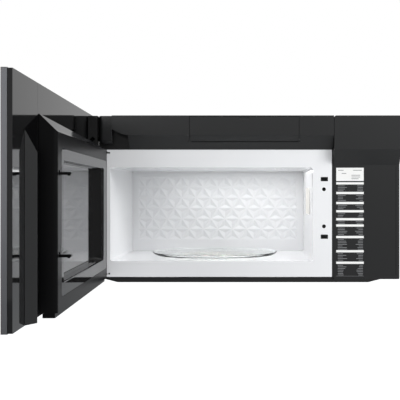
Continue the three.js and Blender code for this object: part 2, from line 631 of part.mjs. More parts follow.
function filterCoverPanel() {
  const { wall } = filterCover;
  const [low, top] = filterZ;
  const crease = down(trim.crease);
  const foot = filterFootY + wall * 2;
  const section = polygon([
    [proudY, top], [proudY, crease], [filterFootY, low], [foot, low + 0.4],
    [foot, low + wall * 1.9], [proudY + wall, crease + gap.seam], [proudY + wall, top - wall],
    [proudY + wall * 3, top - wall], [proudY + wall * 3, top],
  ]);
  const pins = rodX(filterCover.pin, filterX(3), filterPivot.y, filterPivot.z, 4);
  const tabZ = [top - 7.3, top - 2];
  const tab = block(
    span((filterX()[0] + filterX()[1]) / 2, filterCover.tab), [proudY - past, proudY + wall / 2], tabZ);
  return cut(join(prismX(section, filterX()), pins), tab);
}

function charcoalFilter() {
  const x = filterX(-12);
  const z = [filterZ[0] + 10, filterZ[1] - 5];
  const thickness = 16;
  const y = [frontY - gap.seat - thickness, frontY - gap.seat];
  const cell = { columns: 10, rows: 2, width: 17, height: 13, rim: 6 };
  const holes = places(grow(x, -cell.rim), cell.columns)
    .flatMap((cx) => places(grow(z, -cell.rim), cell.rows)
      .map((cz) => block(span(cx, cell.width), grow(y, past), span(cz, cell.height))));
  return cut(block(x, y, z), ...holes);
}

function rightFascia() {
  const x = [fasciaX, rightX];
  const upper = hollowMoulding(x, trim.fasciaTopFace, trim.fasciaRecess, frameBackY);
  const lower = block(x, [frontY, frameBackY], [up(0), down(trim.fasciaRecess)]);
  const backing = block(
    [fasciaX, rightX - cabinet.sheet - gap.seat], [frontY, frontY + trim.wall],
    [up(pan.sheet) + gap.seat, down(trim.fasciaRecess)]);
  const lip = block(
    [frameX[1] - gap.seat * 2, fasciaX + trim.wall], [frameBackY + gap.seat, frontY + trim.wall + gap.seam],
    [up(pan.wallTop) + gap.seat, down(trim.fasciaRecess) - trim.wall]);
  const plateRoom = block(
    grow(x, past), [frontY - gap.seat, frameBackY + past],
    [down(trim.fasciaTopFace - trim.plateOverlap) - gap.seat, anyZ[1]]);
  const outline = prismY(rectangle(x, [up(0), down(0)], trim.corner), [proudY - past, frontY + trim.wall + past]);
  return join(common(cut(join(upper, lower, backing), plateRoom), outline), lip);
}

// ---------------------------------------------------------------- hinges

function hingeBracket(low) {
  const z = [low, low + hinge.plate];
  const legY = [frameBackY + gap.seat, frameBackY + gap.seat + hinge.plate];
  const upward = low < 0;
  const legZ = upward ? [z[0], z[0] + hinge.legHeight] : [z[1] - hinge.legHeight, z[1]];
  const leg = block(span(pivotX, hinge.legWidth), legY, legZ);
  const tongue = join(
    block(span(pivotX, hinge.tongueWidth), [pivotY, legY[1]], z),
    rodZ(hinge.tongueWidth / 2, pivotX, pivotY, z, 8));
  const pin = rodZ(hinge.pin, pivotX, pivotY, [z[1] - 1, z[1] + hinge.pinHeight], 6);
  return join(leg, tongue, pin);
}

// ---------------------------------------------------------------- door

// The box is hollow towards the panel; its hollow reaches past the panel's plane.
const boxBackY = (inset) => panelY + gap.seat - (inset ? past : 0);
const boxFrontY = (inset) => doorFaceY - (inset ? door.boxFaceWall : 0);
const boxReachZ = [boxZ[0] - past, boxZ[1] + door.boxDepth + past];

// Plan of the choke box, in (x, y): an arc about the hinge axis at one end, a drafted end at the other.
function boxPlan(inset) {
  const [face, back] = [boxFrontY(inset), boxBackY(inset)];
  const [end, edge] = [boxX[0] + inset, boxX[1] - inset];
  const shape = new THREE.Shape();
  shape.moveTo(end, back);
  if (inset) {
    shape.lineTo(end, pivotY);
    shape.lineTo(pivotX + inset * 2, face);
  } else {
    const reach = doorFaceY - pivotY;
    const start = Math.PI - Math.acos(door.boxEndPastPivot / reach);
    shape.absarc(pivotX, pivotY, reach, start, Math.PI / 2, true);
  }
  shape.lineTo(edge - door.boxEdge - door.boxDraft, face);
  shape.quadraticCurveTo(edge - door.boxDraft, face, edge - door.boxDraft, face - door.boxEdge);
  shape.lineTo(edge + door.boxDraft, back);
  return shape;
}

// Its upper flange slopes at 45 degrees, so it passes under the mouldings.
function boxSide(inset) {
  const [face, back, low] = [boxFrontY(inset), boxBackY(inset), boxZ[0] + inset];
  const rise = (y) => boxZ[1] + (doorFaceY - y) - inset * Math.SQRT2;
  return polygon([[back, low], [face, low], [face, rise(face)], [back, rise(back)]]);
}

const hookZ = [slotZ.upper - latch.upperDrop, slotZ.lower - latch.lowerDrop];
const lugZ = [boxZ[1] - latch.lugDrop - latch.lug, boxZ[1] - latch.lugDrop];

function chokeBox() {
  const wide = grow(boxX, door.boxEdge);
  const body = (inset) => common(prismX(boxSide(inset), wide), prismZ(boxPlan(inset), boxReachZ));
  const outer = body(0);
  const out = doorFaceY + past;
  const paneSeat = prismY(rectangle(paneX, paneZ, door.paneCorner), [doorFaceY - door.pane - gap.seat, out]);
  const ledge = rectangle(grow(paneX, -door.paneLedge), grow(paneZ, -door.paneLedge), doorWindow.corner);
  const bosses = hingeZ.map((low) => {
    const z = low + hinge.plate + gap.seat;
    return common(rodZ(hinge.bossRadius, pivotX, pivotY, [z, z + hinge.bossHeight], 6), outer);
  });
  const bores = hingeZ.map((low) => {
    const z = low + hinge.plate;
    return rodZ(hinge.pin + gap.seat, pivotX, pivotY, [z - past, z + hinge.pinHeight + gap.seat], 6);
  });
  const sweeps = hingeZ.map((low) => rodZ(
    hinge.sweep, pivotX, pivotY, [low - gap.seat * 2, low + hinge.plate + gap.seat], 8));
  const prongRoom = { side: 0.8, below: 0.8, above: 0.6 };
  const hookSlots = hookZ.map((z) => block(
    span(hookX, latch.width + prongRoom.side * 2), [panelY + door.boxWall * 2, out],
    [z - latch.prong / 2 - prongRoom.below, z + latch.prong / 2 + latch.travel + prongRoom.above]));
  const lugY = [doorFaceY - latch.lugReach, boxFrontY(1) + 0.5];
  const springLug = block(span(hookX, latch.lugWidth), lugY, lugZ);
  const rail = block(
    [pivotX + bottomRail.hingeRoom, boxX[1] - bottomRail.freeRoom],
    [frontY - bottomRail.rear, frontY - bottomRail.front], [up(-bottomRail.drop), boxZ[0] + door.boxWall]);
  return cut(
    join(cut(outer, body(door.boxWall)), ...bosses, springLug, rail),
    paneSeat, prismY(ledge, [panelY, out]), ...bores, ...sweeps, ...hookSlots);
}

function innerPane() {
  const lift = 0.1;                // the pane's face lies that far under the box's face
  return prismY(
    rectangle(grow(paneX, -gap.seat), grow(paneZ, -gap.seat), door.paneCorner - gap.seat),
    [doorFaceY - door.pane, doorFaceY - lift]);
}

// Window screen and choke ring share one plane behind the face of the choke box.
const screenY = doorFaceY - door.boxFaceWall - gap.seat;
const screenX = grow(paneX, -screen.inset);
const screenZ = grow(paneZ, -screen.inset);

function doorScreen() {
  const { sheet, bead, beadInset, beadWidth, corner } = screen;
  const plate = prismY(rectangle(screenX, screenZ, corner), [screenY - sheet, screenY]);
  const beadX = grow(screenX, -beadInset);
  const beadZ = grow(screenZ, -beadInset);
  const ring = cut(
    prismY(rectangle(beadX, beadZ, corner - 2), [screenY - bead, screenY - sheet / 2]),
    prismY(rectangle(grow(beadX, -beadWidth), grow(beadZ, -beadWidth), corner - 3), [screenY - bead - past, screenY]));
  return join(plate, ring);
}

// Quarter-wave trap: a folded ring whose outer wall is cut into a comb.
function chokeFrame() {
  const { sheet, depth, base, floor, left, right, height, clear, slit, lip } = choke;
  const x = [screenX[0] + left, screenX[1] + right];
  const z = grow(screenZ, height);
  const y = [screenY - depth, screenY - screen.bead - clear];
  const ring = (width, ySpan) => cut(
    prismY(rectangle(x, z, 4), ySpan),
    prismY(rectangle(grow(x, -width), grow(z, -width), 3), grow(ySpan, past)));
  const walls = [ring(base, [y[1] - sheet, y[1]]), ring(sheet, y), ring(floor, [y[0], y[0] + sheet])];
  const slitY = grow(y, -lip);
  const slitsAcross = places(grow(x, -lip * 2), 12).map((cx) => block(span(cx, slit), slitY, grow(z, past)));
  const slitsUp = places(grow(z, -lip * 2), 6).map((cz) => block(grow(x, past), slitY, span(cz, slit)));
  return cut(join(...walls), ...slitsAcross, ...slitsUp);
}

// The inner frame closes the door's back; a cap on its hinge end fills the band's end.
function innerFrame() {
  const y = [skinBackY + gap.seat, panelY];
  const outline = rectangle([leftX + door.edge, seamX], panelZ, door.corner);
  const window = rectangle(grow(screenX, -door.frameLip), grow(screenZ, -door.frameLip), doorWindow.corner);
  const capY = [panelY - gap.seam, pivotY - door.pivotInset - gap.seam];
  const under = (at) => boxZ[1] + (doorFaceY - at) + gap.door * Math.SQRT2;
  const cap = prismX(
    polygon([[capY[0], under(capY[0])], [capY[1], under(capY[1])], [capY[1], panelZ[1]], [capY[0], panelZ[1]]]),
    [pivotX - hingeCap.pastPivot, leftX + trim.endBlockWidth - hingeCap.side]);
  return join(cut(prismY(outline, y), prismY(window, grow(y, past))), cap);
}

function endCover() {
  const y = [skinBackY + gap.seat, panelY];
  const x = [seamX + gap.seat * 2, rightX - door.edge];
  const { rim, wall, rib } = cover;
  const outer = prismY(rectangle(x, panelZ, door.corner), y);
  const inner = prismY(rectangle(grow(x, -rim), grow(panelZ, -rim), 3), [y[0] - past, y[1] - wall]);
  const ribs = places(panelZ, 5).slice(1, 4)
    .map((z) => block(grow(x, -rim / 2), [y[0] + rim, y[1] - wall / 2], span(z, rib)));
  return join(cut(outer, inner), ...ribs);
}

const windowX = [openingX[0] + doorWindow.left, openingX[1] + doorWindow.right];
const windowZ = [up(doorWindow.bottom), down(doorWindow.top)];
const touchX = [fasciaX + touchPanel.left, rightX - touchPanel.right];
const touchZ = [up(touchPanel.bottom), down(touchPanel.top)];

function doorSkin() {
  const y = [doorOuterY, skinBackY];
  const outerZ = [up(0), down(0)];
  const outline = rectangle([leftX, rightX], outerZ, door.corner);
  const hollow = rectangle(
    grow([leftX, rightX], -door.skinWall), grow(outerZ, -door.skinWall), door.corner - door.skinWall);
  const tray = cut(prismY(outline, y), prismY(hollow, [y[0] + door.skinWall, y[1] + past]));
  const openings = [[windowX, windowZ], [touchX, touchZ]]
    .map(([x, z]) => prismY(rectangle(x, z, doorWindow.corner), grow(y, past)));
  return cut(tray, ...openings);
}

// Both panes have a step, so they stand flush in the skin and bear on its inner side.
function steppedPane(x, z) {
  const { corner, step, glass, sunk } = doorWindow;
  const seat = doorOuterY + door.skinWall + gap.seat;
  return join(
    prismY(rectangle(grow(x, -gap.seat), grow(z, -gap.seat), corner - gap.seat), [doorOuterY + sunk, seat + sunk]),
    prismY(rectangle(grow(x, step), grow(z, step), corner), [seat, seat + glass]));
}

function touchBoard() {
  const { sheet, display, chip, socket } = touchPanel;
  const y = doorOuterY + door.skinWall + gap.seat * 2 + doorWindow.glass;
  const on = (x, z, height) => block(x, [y + sheet / 2, y + sheet + height], z);
  const middle = (touchX[0] + touchX[1]) / 2;
  return join(
    block(grow(touchX, -touchPanel.sideRoom), [y, y + sheet], grow(touchZ, -touchPanel.topRoom)),
    on(span(middle, display.width), [down(display.bottom), down(display.top)], display.height),
    on(span(middle, chip.size), span(touchZ[0] + chip.rise, chip.size), chip.height),
    on(span(middle - socket.aside, socket.width), span(touchZ[0] + socket.rise, socket.width / 2), socket.height));
}

// Pull: a plate that leans over the end cover, its top cut to the fascia's slope.
function handleGrip() {
  const { rootInset, run, rise, wall, foot, rootDrop, tipDrop, bottom } = grip;
  const back = panelY + gap.seat;
  const root = new THREE.Vector2(rightX - rootInset, back);
  const along = new THREE.Vector2(-run, rise).normalize();
  const across = new THREE.Vector2(along.y, -along.x).multiplyScalar(-wall);
  const tip = new THREE.Vector2(root.x - run, back + rise);
  const inner = tip.clone().add(across);
  const rounding = along.clone().multiplyScalar(-wall / 3);
  const footEnd = inner.clone().addScaledVector(along, -(inner.y - back - wall) / along.y);
  const section = new THREE.Shape();
  section.moveTo(root.x, root.y);
  section.lineTo(tip.x + rounding.x, tip.y + rounding.y);
  section.quadraticCurveTo(tip.x, tip.y, tip.x + across.x / 3, tip.y + across.y / 3);
  section.lineTo(inner.x, inner.y);
  section.lineTo(footEnd.x, footEnd.y);
  section.lineTo(root.x - foot, footEnd.y);
  section.lineTo(root.x - foot, root.y);
  const slope = (down(rootDrop) - down(tipDrop)) / run;
  const topAt = (x) => down(rootDrop) + (x - root.x) * slope;
  const x = [inner.x - past, root.x + past];
  const side = polygon([[x[0], up(bottom)], [x[1], up(bottom)], [x[1], topAt(x[1])], [x[0], topAt(x[0])]]);
  return common(prismZ(section, anyZ, 3), prismY(side, [back - past, back + rise + past]));
}

// ---------------------------------------------------------------- latch

const latchBarY = [screenY - latch.behind - latch.barDepth, screenY - latch.behind];
const latchBarZ = [hookZ[1] - latch.below, hookZ[0] + latch.above];

function latchBar() {
  const { prong, barb, neck, nose, cutback } = latch;
  const bar = block(span(hookX, latch.bar), latchBarY, latchBarZ);
  const tip = frontY + latch.reach;
  const prongs = hookZ.map((z) => {
    const [low, high] = span(z, prong);
    return prismX(polygon([
      [latchBarY[1] - 1, low], [tip - neck, low], [tip - neck + 1, low - barb], [tip - nose, low - barb],
      [tip, z], [tip - cutback, high], [latchBarY[1] - 1, high],
    ]), span(hookX, latch.width));
  });
  const windows = places(latchBarZ, 5).slice(1, 4).map((z) => block(
    grow(span(hookX, latch.bar), past), grow(latchBarY, -latch.bar / 4), span(z, latch.window)));
  return cut(join(bar, ...prongs), ...windows);
}

function latchSpring() {
  return rodZ(
    latch.spring, hookX, (latchBarY[0] + latchBarY[1]) / 2, [latchBarZ[1] + gap.seat, lugZ[0] - gap.seat], 3);
}

function latchGuide() {
  const { width, rail, below, above, endRoom } = guide;
  const y = [panelY + gap.seat * 2, latchBarY[0] - gap.seat];
  const z = [hookZ[1] - below, hookZ[0] + above];
  const railY = [y[0], latchBarY[1] - rail];
  const inner = latch.bar / 2 + gap.seat;
  const rails = [[hookX - inner - rail, hookX - inner], [hookX + inner, hookX + inner + rail]];
  return join(
    block(span(hookX, width), y, z), ...rails.map((x) => block(x, railY, grow(z, -endRoom))));
}

const switchPocketZ = (z) => span(z, slot.height + doorSwitch.room);

function latchBoard() {
  const { sideRoom, depth, reach, face, middleHeight, hole, holeDepth } = latchBody;
  const x = [openingX[1] + cavity.sheet + sideRoom, frameX[1] - gap.seam];
  const y = [frameBackY + gap.seat, frameBackY + depth];
  const z = [slotZ.lower - reach, slotZ.upper + reach];
  const pocketX = grow(slotX, doorSwitch.side);
  const pockets = Object.values(slotZ).map((at) => block(pocketX, grow(y, past), switchPocketZ(at)));
  const middle = block(pocketX, [y[0] + face, y[1] + past], span((slotZ.upper + slotZ.lower) / 2, middleHeight));
  const holes = holeZ.map((at) => rodY(hole, hookX - 1, [y[0] - past, y[0] + holeDepth], at, 3));
  return cut(block(x, y, z), ...pockets, middle, ...holes);
}

function interlockSwitch(z) {
  const { behind, depth, side, tab, tabReach, plunger } = doorSwitch;
  const y = [frameBackY + behind, frameBackY + behind + depth];
  const body = block(grow(slotX, side - gap.seat), y, grow(switchPocketZ(z), -gap.seat));
  const button = block(span(hookX, plunger), [y[0] - past, y[0] + 1], span(z, plunger + 1));
  const tabs = [-tab, tab].map((aside) => block(
    span(hookX + aside, 1), [y[1] - 1, y[1] + tabReach], span(z, tab + 1)));
  return join(body, button, ...tabs);
}

// ---------------------------------------------------------------- turntable

const wheelZ = wellDepth[0] + gap.seat + rollers.radius;
const trayZ = openingZ[0] + glassTray.bottomRise;
const trayRadius = Math.min(cavityY[1] - cavityY[0], openingX[1] - openingX[0]) / 2 - glassTray.edgeRoom;
const atMiddle = (geometry, angle = 0) => solidOf(geometry.rotateZ(angle).translate(cavityMidX, cavityMidY, 0));

function turntableMotor() {
  const { radius, height, flange, flangeRise, chamfer, shaftReach } = trayMotor;
  const top = wellDepth[0] - cavity.sheet - gap.seat;
  const can = revolveZ([
    [0, top - height], [radius - chamfer, top - height], [radius, top - height + chamfer],
    [radius, top - flangeRise], [flange, top - flangeRise], [flange, top], [0, top],
  ], cavityMidX, cavityMidY, 20);
  return join(can, rodZ(coupler.shaft, cavityMidX, cavityMidY, [top - 1, wellDepth[0] + shaftReach], 4));
}

function turntableCoupler() {
  const { radius, lobe, lobeWidth, lobeHeight, lobes, shaft, sunk } = coupler;
  const z = [wellDepth[0] - sunk, trayZ - gap.seat * 2];
  const hub = rodZ(radius, cavityMidX, cavityMidY, z, 6);
  const arms = aboutZ((angle) => atMiddle(
    new THREE.BoxGeometry(lobe, lobeWidth, lobeHeight).translate(lobe / 2, 0, z[1] - lobeHeight / 2), angle), lobes);
  const bore = rodZ(
    shaft + gap.seat, cavityMidX, cavityMidY, [z[0] - past, wellDepth[0] + trayMotor.shaftReach + gap.seam], 4);
  return cut(join(hub, arms), bore);
}

function glassTrayPlate() {
  const { thickness, rim, rimWidth, lug } = glassTray;
  const [z, r] = [trayZ, trayRadius];
  const flat = r - rimWidth;
  const plate = revolveZ([
    [0, z], [flat, z], [r - 7, z + 1.2], [r - 1, z + rim - 2], [r, z + rim - 0.8],
    [r - 1.4, z + rim], [r - 5, z + rim - 1], [r - 10, z + thickness + 0.9],
    [flat, z + thickness], [0, z + thickness],
  ], cavityMidX, cavityMidY, 64);
  const lugs = aboutZ((angle) => atMiddle(
    new THREE.BoxGeometry(lug.length, lug.width, lug.height).translate(lug.radius, 0, z - lug.height / 2 + 0.5),
    angle + Math.PI / coupler.lobes), coupler.lobes);
  return join(plate, lugs);
}

function rollerRing() {
  const { track, axle, ring, rim, hub, hubWidth, arm, axleEnd } = rollers;
  const z = span(wheelZ, ring);
  const ringAt = (outer, width) => cut(
    rodZ(outer, cavityMidX, cavityMidY, z, 12), rodZ(outer - width, cavityMidX, cavityMidY, grow(z, past), 12));
  const outer = track - rim.inset;
  const reach = [hub - hubWidth + 1, outer - rim.width + 1];
  const arms = aboutZ((angle) => atMiddle(
    new THREE.BoxGeometry(reach[1] - reach[0], arm, ring).translate((reach[0] + reach[1]) / 2, 0, wheelZ),
    angle), 3);
  const axleX = [outer - 1, track + rollers.width / 2 + axleEnd];
  const axles = aboutZ((angle) => atMiddle(
    new THREE.CylinderGeometry(axle, axle, axleX[1] - axleX[0], 10).rotateZ(Math.PI / 2)
      .translate((axleX[0] + axleX[1]) / 2, 0, wheelZ), angle), 3);
  return join(ringAt(outer, rim.width), ringAt(hub, hubWidth), arms, axles);
}

function rollerWheel(index) {
  const half = rollers.width / 2;
  const [outer, inner, round] = [rollers.radius, rollers.axle + gap.seat, rollers.round];
  const profile = [[inner, -half], [outer - round, -half], [outer, -half + round], [outer, half - round],
    [outer - round, half], [inner, half], [inner, -half]].map(([r, h]) => new THREE.Vector2(r, h));
  const wheel = new THREE.LatheGeometry(profile, 20).rotateZ(Math.PI / 2).translate(rollers.track, 0, wheelZ);
  return atMiddle(wheel, index * Math.PI * 2 / 3);
}

// ---------------------------------------------------------------- ventilation

const blowerY = -blower.axisInset;
const housingRadius = blower.wheelRadius + blower.housingRoom;
const cavityTopZ = openingZ[1] + cavity.sheet + gap.seat;
const blowerZ = cavityTopZ + housingRadius + blower.housingGrowth + blower.standOff;
const housingInset = blower.motorLength / 2 + gap.seat;

// Scroll outline in (y, z): a spiral under the wheel that opens upwards into the duct.
function scrollOutline(extra, top) {
  const shape = new THREE.Shape();
  const steps = 24;
  const radiusAt = (t) => housingRadius + blower.housingGrowth * t + extra;
  shape.moveTo(blowerY - radiusAt(0), top);
  for (let i = 0; i <= steps; i += 1) {
    const t = i / steps;
    const angle = Math.PI + Math.PI * t;
    shape.lineTo(blowerY + radiusAt(t) * Math.cos(angle), blowerZ + radiusAt(t) * Math.sin(angle));
  }
  shape.lineTo(blowerY + radiusAt(1), top);
  return shape;
}

function blowerHousing(side) {
  const { wall, inletLip } = blower;
  const top = down(cabinet.sheet) - gap.seat;
  const inner = side * housingInset;
  const outer = side * (housingInset + blower.housingWidth);
  const x = [Math.min(inner, outer), Math.max(inner, outer)];
  const shell = cut(
    prismX(scrollOutline(0, top), x), prismX(scrollOutline(-wall, top + past), grow(x, -wall)));
  const inlet = rodX(blower.wheelRadius - inletLip, span(outer, past * 3), blowerY, blowerZ, 8);
  const shaftHole = rodX(blower.shaft + gap.turning, grow(x, past), blowerY, blowerZ, 4);
  return cut(shell, inlet, shaftHole);
}

function blowerMotor() {
  const { motorRadius, motorLength, bearing, bearingReach, foot } = blower;
  const x = span(0, motorLength);
  const can = rodX(motorRadius, grow(x, -bearingReach), blowerY, blowerZ, 8);
  const bearings = rodX(bearing, x, blowerY, blowerZ, 6);
  const stand = block(grow(x, -foot.room), span(blowerY, foot.width), [cavityTopZ, blowerZ - foot.drop]);
  const bore = rodX(blower.shaft + gap.seat, grow(x, past), blowerY, blowerZ, 6);
  return cut(join(can, bearings, stand), bore);
}

const wheelX = (side) => {
  const inner = housingInset + (blower.housingWidth - blower.wheelWidth) / 2;
  return side > 0 ? [inner, inner + blower.wheelWidth] : [-inner - blower.wheelWidth, -inner];
};

function blowerShaft() {
  const reach = wheelX(1)[0] + blower.hubLength + 1;
  return rodX(blower.shaft, [-reach, reach], blowerY, blowerZ, 5);
}

function blowerWheel(side) {
  const x = wheelX(side);
  const { wheelRadius: radius, blades, wheelWidth, hubLength, hub, blade } = blower;
  const fromInner = (a, b) => (side > 0 ? [x[0] + a, x[0] + b] : [x[1] - b, x[1] - a]);
  const rimX = fromInner(wheelWidth - blade.rim, wheelWidth);
  const ring = cut(
    rodX(radius, rimX, blowerY, blowerZ, 10), rodX(radius - blade.length, grow(rimX, past), blowerY, blowerZ, 10));
  const bladeSolids = Array.from({ length: blades }, (_, i) => {
    const shape = new THREE.BoxGeometry(wheelWidth - 1, blade.length, blade.sheet);
    shape.rotateX(blade.turn).translate((x[0] + x[1]) / 2, radius - blade.inset, 0);
    return solidOf(shape.rotateX(i * Math.PI * 2 / blades).translate(0, blowerY, blowerZ));
  });
  const wheel = join(
    rodX(radius, fromInner(0, blade.disc), blowerY, blowerZ, 10),
    rodX(hub, fromInner(0, hubLength), blowerY, blowerZ, 4), ring, ...bladeSolids);
  return cut(wheel, rodX(blower.shaft + gap.seat, grow(x, past), blowerY, blowerZ, 5));
}

const ductTop = down(-duct.height);
const flapAxis = { y: -duct.inset + duct.depth / 2 - duct.flapInset, z: down(-duct.flapRise) };

function exhaustAdapter() {
  const base = down(0);
  const y = span(-duct.inset, duct.depth);
  const collar = block(span(0, duct.width), y, [base, ductTop]);
  const flange = block(span(0, duct.width + duct.flange * 2), grow(y, duct.flange), [base, base + duct.wall]);
  const inside = block(
    span(0, duct.width - duct.wall * 2), grow(y, -duct.wall), grow([base, ductTop], past));
  const bore = rodX(
    duct.barrel + gap.seat, span(0, duct.width + duct.flange), flapAxis.y, flapAxis.z, 3);
  return cut(join(collar, flange), inside, bore);
}

function damperFlap() {
  const x = span(0, duct.width - duct.wall * 2 - gap.turning);
  const y = [-duct.inset - duct.depth / 2 + duct.wall + gap.swing, flapAxis.y];
  const barrel = rodX(duct.barrel, span(0, duct.width - gap.seat), flapAxis.y, flapAxis.z, 3);
  return join(block(x, y, span(flapAxis.z, duct.wall)), barrel);
}

const fanY = [-cabinet.rearSheet - gap.seat - fan.depth, -cabinet.rearSheet - gap.seat];

function coolingFanFrame() {
  const { radius, hub, frame, corner, screw, screws, motor, bearing, strut } = fan;
  const through = grow(fanY, past);
  const body = cut(
    prismY(rectangle(span(fanX, frame), span(fanZ, frame), corner), fanY),
    rodY(radius + gap.turning, fanX, through, fanZ, 10));
  const screwHoles = [-screws, screws].flatMap((dx) => [-screws, screws]
    .map((dz) => rodY(screw, fanX + dx, through, fanZ + dz, 3)));
  const struts = [1, 3].map((quarter) => {
    const bar = new THREE.BoxGeometry(radius * 2 + corner, strut.depth, strut.width);
    return solidOf(bar.rotateY(quarter * Math.PI / 4).translate(fanX, fanY[1] - strut.depth / 2, fanZ));
  });
  const can = rodY(hub - gap.turning - 1, fanX, [fanY[1] - motor, fanY[1]], fanZ, 6);
  const pin = rodY(bearing, fanX, [fanY[1] - motor - fan.pin, fanY[1] - past], fanZ, 4);
  return join(cut(body, ...screwHoles), ...struts, can, pin);
}

function coolingFan() {
  const { radius, hub, bearing, blade } = fan;
  const y = [fanY[0] + gap.turning, fanY[1] - fan.rotorInset];
  const shell = 2;
  const hollow = rodY(hub - shell, fanX, [y[0] + shell * 1.5, y[1] + past], fanZ, 7);
  const cup = cut(rodY(hub, fanX, y, fanZ, 7), hollow);
  const blades = Array.from({ length: fan.blades }, (_, i) => {
    const shape = new THREE.BoxGeometry(radius - hub + shell, blade.sheet, blade.width);
    shape.rotateX(blade.turn).translate((radius + hub) / 2 - blade.inset, (y[0] + y[1]) / 2, 0);
    return solidOf(shape.rotateY(i * Math.PI * 2 / fan.blades).translate(fanX, 0, fanZ));
  });
  const reach = rodY(radius, fanX, y, fanZ, 8);
  const rotor = join(cup, ...blades.map((shape) => common(shape, reach)));
  return cut(rotor, hollow, rodY(bearing + gap.seat, fanX, grow(y, past), fanZ, 4));
}

// ---------------------------------------------------------------- power and light

const magnetronY = guideY[1] - magnetron.rearInset;
const magnetronZ = openingZ[1] - magnetron.fromTop;

function waveguideDuct() {
  const { wall, reach, flange } = waveguide;
  const x = [sideWallX + gap.seat, sideWallX + reach];
  const inY = grow(guideY, -wall);
  const inZ = grow(guideZ, -wall);
  const shell = cut(block(x, guideY, guideZ), block([x[0] - past, x[1] - wall], inY, inZ));
  const rim = cut(
    block([x[0], x[0] + wall], grow(guideY, flange), grow(guideZ, flange)),
    block([x[0] - past, x[0] + wall + past], inY, inZ));
  const antennaHole = rodX(
    magnetron.antenna + gap.turning, [x[1] - wall - past, x[1] + past], magnetronY, magnetronZ, 6);
  return cut(join(shell, rim), antennaHole);
}

function magnetronTube() {
  const { width, depth, height, anode, antenna, yoke, fins, fin } = magnetron;
  const x = [sideWallX + waveguide.reach + gap.seat, sideWallX + waveguide.reach + width];
  const y = span(magnetronY, depth);
  const z = span(magnetronZ, height);
  const frame = cut(block(x, y, z), block(grow(x, -yoke), grow(y, past), grow(z, -yoke)));
  const can = rodX(anode, grow(x, -yoke / 2), magnetronY, magnetronZ, 6);
  const plates = places(grow(x, -yoke * 3), fins)
    .map((fx) => block(span(fx, fin), grow(y, -yoke * 2), grow(z, -yoke / 2)));
  const aerial = rodX(antenna, [x[0] - magnetron.reach, x[0] + 1], magnetronY, magnetronZ, 5);
  return join(frame, can, ...plates, aerial);
}

function waveguideCover() {
  const { sheet, overlapY, overlapZ, corner } = guideCover;
  const x = [openingX[1] - gap.seat - sheet, openingX[1] - gap.seat];
  return prismX(rectangle(grow(apertureY, overlapY), grow(apertureZ, overlapZ), corner), x);
}

function highVoltageTransformer() {
  const { width, depth, height, foot, coil, coilLevels, coilReach, footWidth } = transformer;
  const z0 = panFloor + gap.seat;
  const middle = rightX - transformer.sideInset;
  const y = span(frontY + transformer.frontInset, depth);
  const core = block(span(middle, width), y, [z0 + foot, z0 + foot + height]);
  const windings = coilLevels.map((level) => block(
    span(middle, coil.width), grow(y, coilReach), span(z0 + level, coil.height)));
  const feet = [-1, 1].map((side) => block(
    span(middle + side * (width / 2 - footWidth / 2 - 2), footWidth), grow(y, foot), [z0, z0 + foot + 1]));
  return join(core, ...windings, ...feet);
}

function highVoltageCapacitor() {
  const { width, depth, height, tag } = capacitor;
  const z0 = panFloor + gap.seat;
  const [x, y] = [rightX - capacitor.sideInset, frontY + capacitor.frontInset];
  const can = prismZ(rectangle(span(x, width), span(y, depth), depth / 2 - gap.seat), [z0, z0 + height], 5);
  const tags = [-1, 1].map((side) => block(
    span(x + side * tag.aside, tag.width), span(y, 1), [z0 + height - 1, z0 + height + tag.reach]));
  return join(can, ...tags);
}

function mainBoard() {
  const { frontInset, length, stand, sheet, post, relay, supply, fuse } = board;
  const inside = rightX - cabinet.sheet - gap.seat;
  const x = [inside - stand, inside - stand + sheet];
  const y = [frontY + frontInset, frontY + frontInset + length];
  const z = [up(board.bottom), down(board.top)];
  const into = x[0] + sheet / 2;
  const posts = grow(y, -post.inset).flatMap((py) => grow(z, -post.inset)
    .map((pz) => rodX(post.radius, [x[1] - sheet / 2, inside], py, pz, 3)));
  const relays = places(grow(z, -relay.room), relay.count).map((pz) => block(
    [x[0] - relay.height, into], span(y[0] + relay.y, relay.length), span(pz, relay.width)));
  const parts = [supply, fuse].map((item) => block(
    [x[0] - item.height, into], span(y[1] - item.y, item.length), span(z[0] + item.rise, item.width)));
  return join(block(x, y, z), ...posts, ...relays, ...parts);
}

function cavityLamp() {
  const { radius, flange, plate, taper, cup, socket, height } = lamp;
  const z = cavityTopZ;
  return revolveZ([
    [0, z], [radius + flange, z], [radius + flange, z + plate], [radius, z + plate],
    [radius - taper, z + cup], [socket, z + cup + taper], [socket, z + height], [0, z + height],
  ], lampX, lampY, 16);
}

function cordInlet() {
  const { bore, neck, flange, reach, rise } = cordGland;
  const top = down(0);
  return revolveZ([
    [bore, top - reach], [bore + neck, top - reach], [bore + neck, top + gap.seat],
    [flange, top + gap.seat], [flange - rise / 3, top + rise], [bore, top + rise], [bore, top - reach],
  ], glandX, -cordGland.inset, 24);
}

function greaseFilterPanel(x) {
  const { frame, bar, thickness } = greaseFilter;
  const z = [panFloor + gap.seat, panFloor + gap.seat + thickness];
  const [inX, inY] = [grow(x, -frame), grow(greaseFilterY, -frame)];
  const rim = cut(prismZ(rectangle(x, greaseFilterY, bar), z), block(inX, inY, grow(z, past)));
  const layers = [z[0] + 1, z[0] + 2.5];
  const long = places(inX, 6)
    .map((bx) => block(span(bx, bar), grow(greaseFilterY, -frame / 2), [layers[0], layers[0] + 2]));
  const cross = places(inY, 8)
    .map((by) => block(grow(x, -frame / 2), span(by, bar), [layers[1], layers[1] + 2]));
  return join(rim, ...long, ...cross);
}

const lampPivot = { y: lampLensY[0] + cooktopLamp.pivotInset, z: up(-pan.drop) + cooktopLamp.pin + 0.2 };

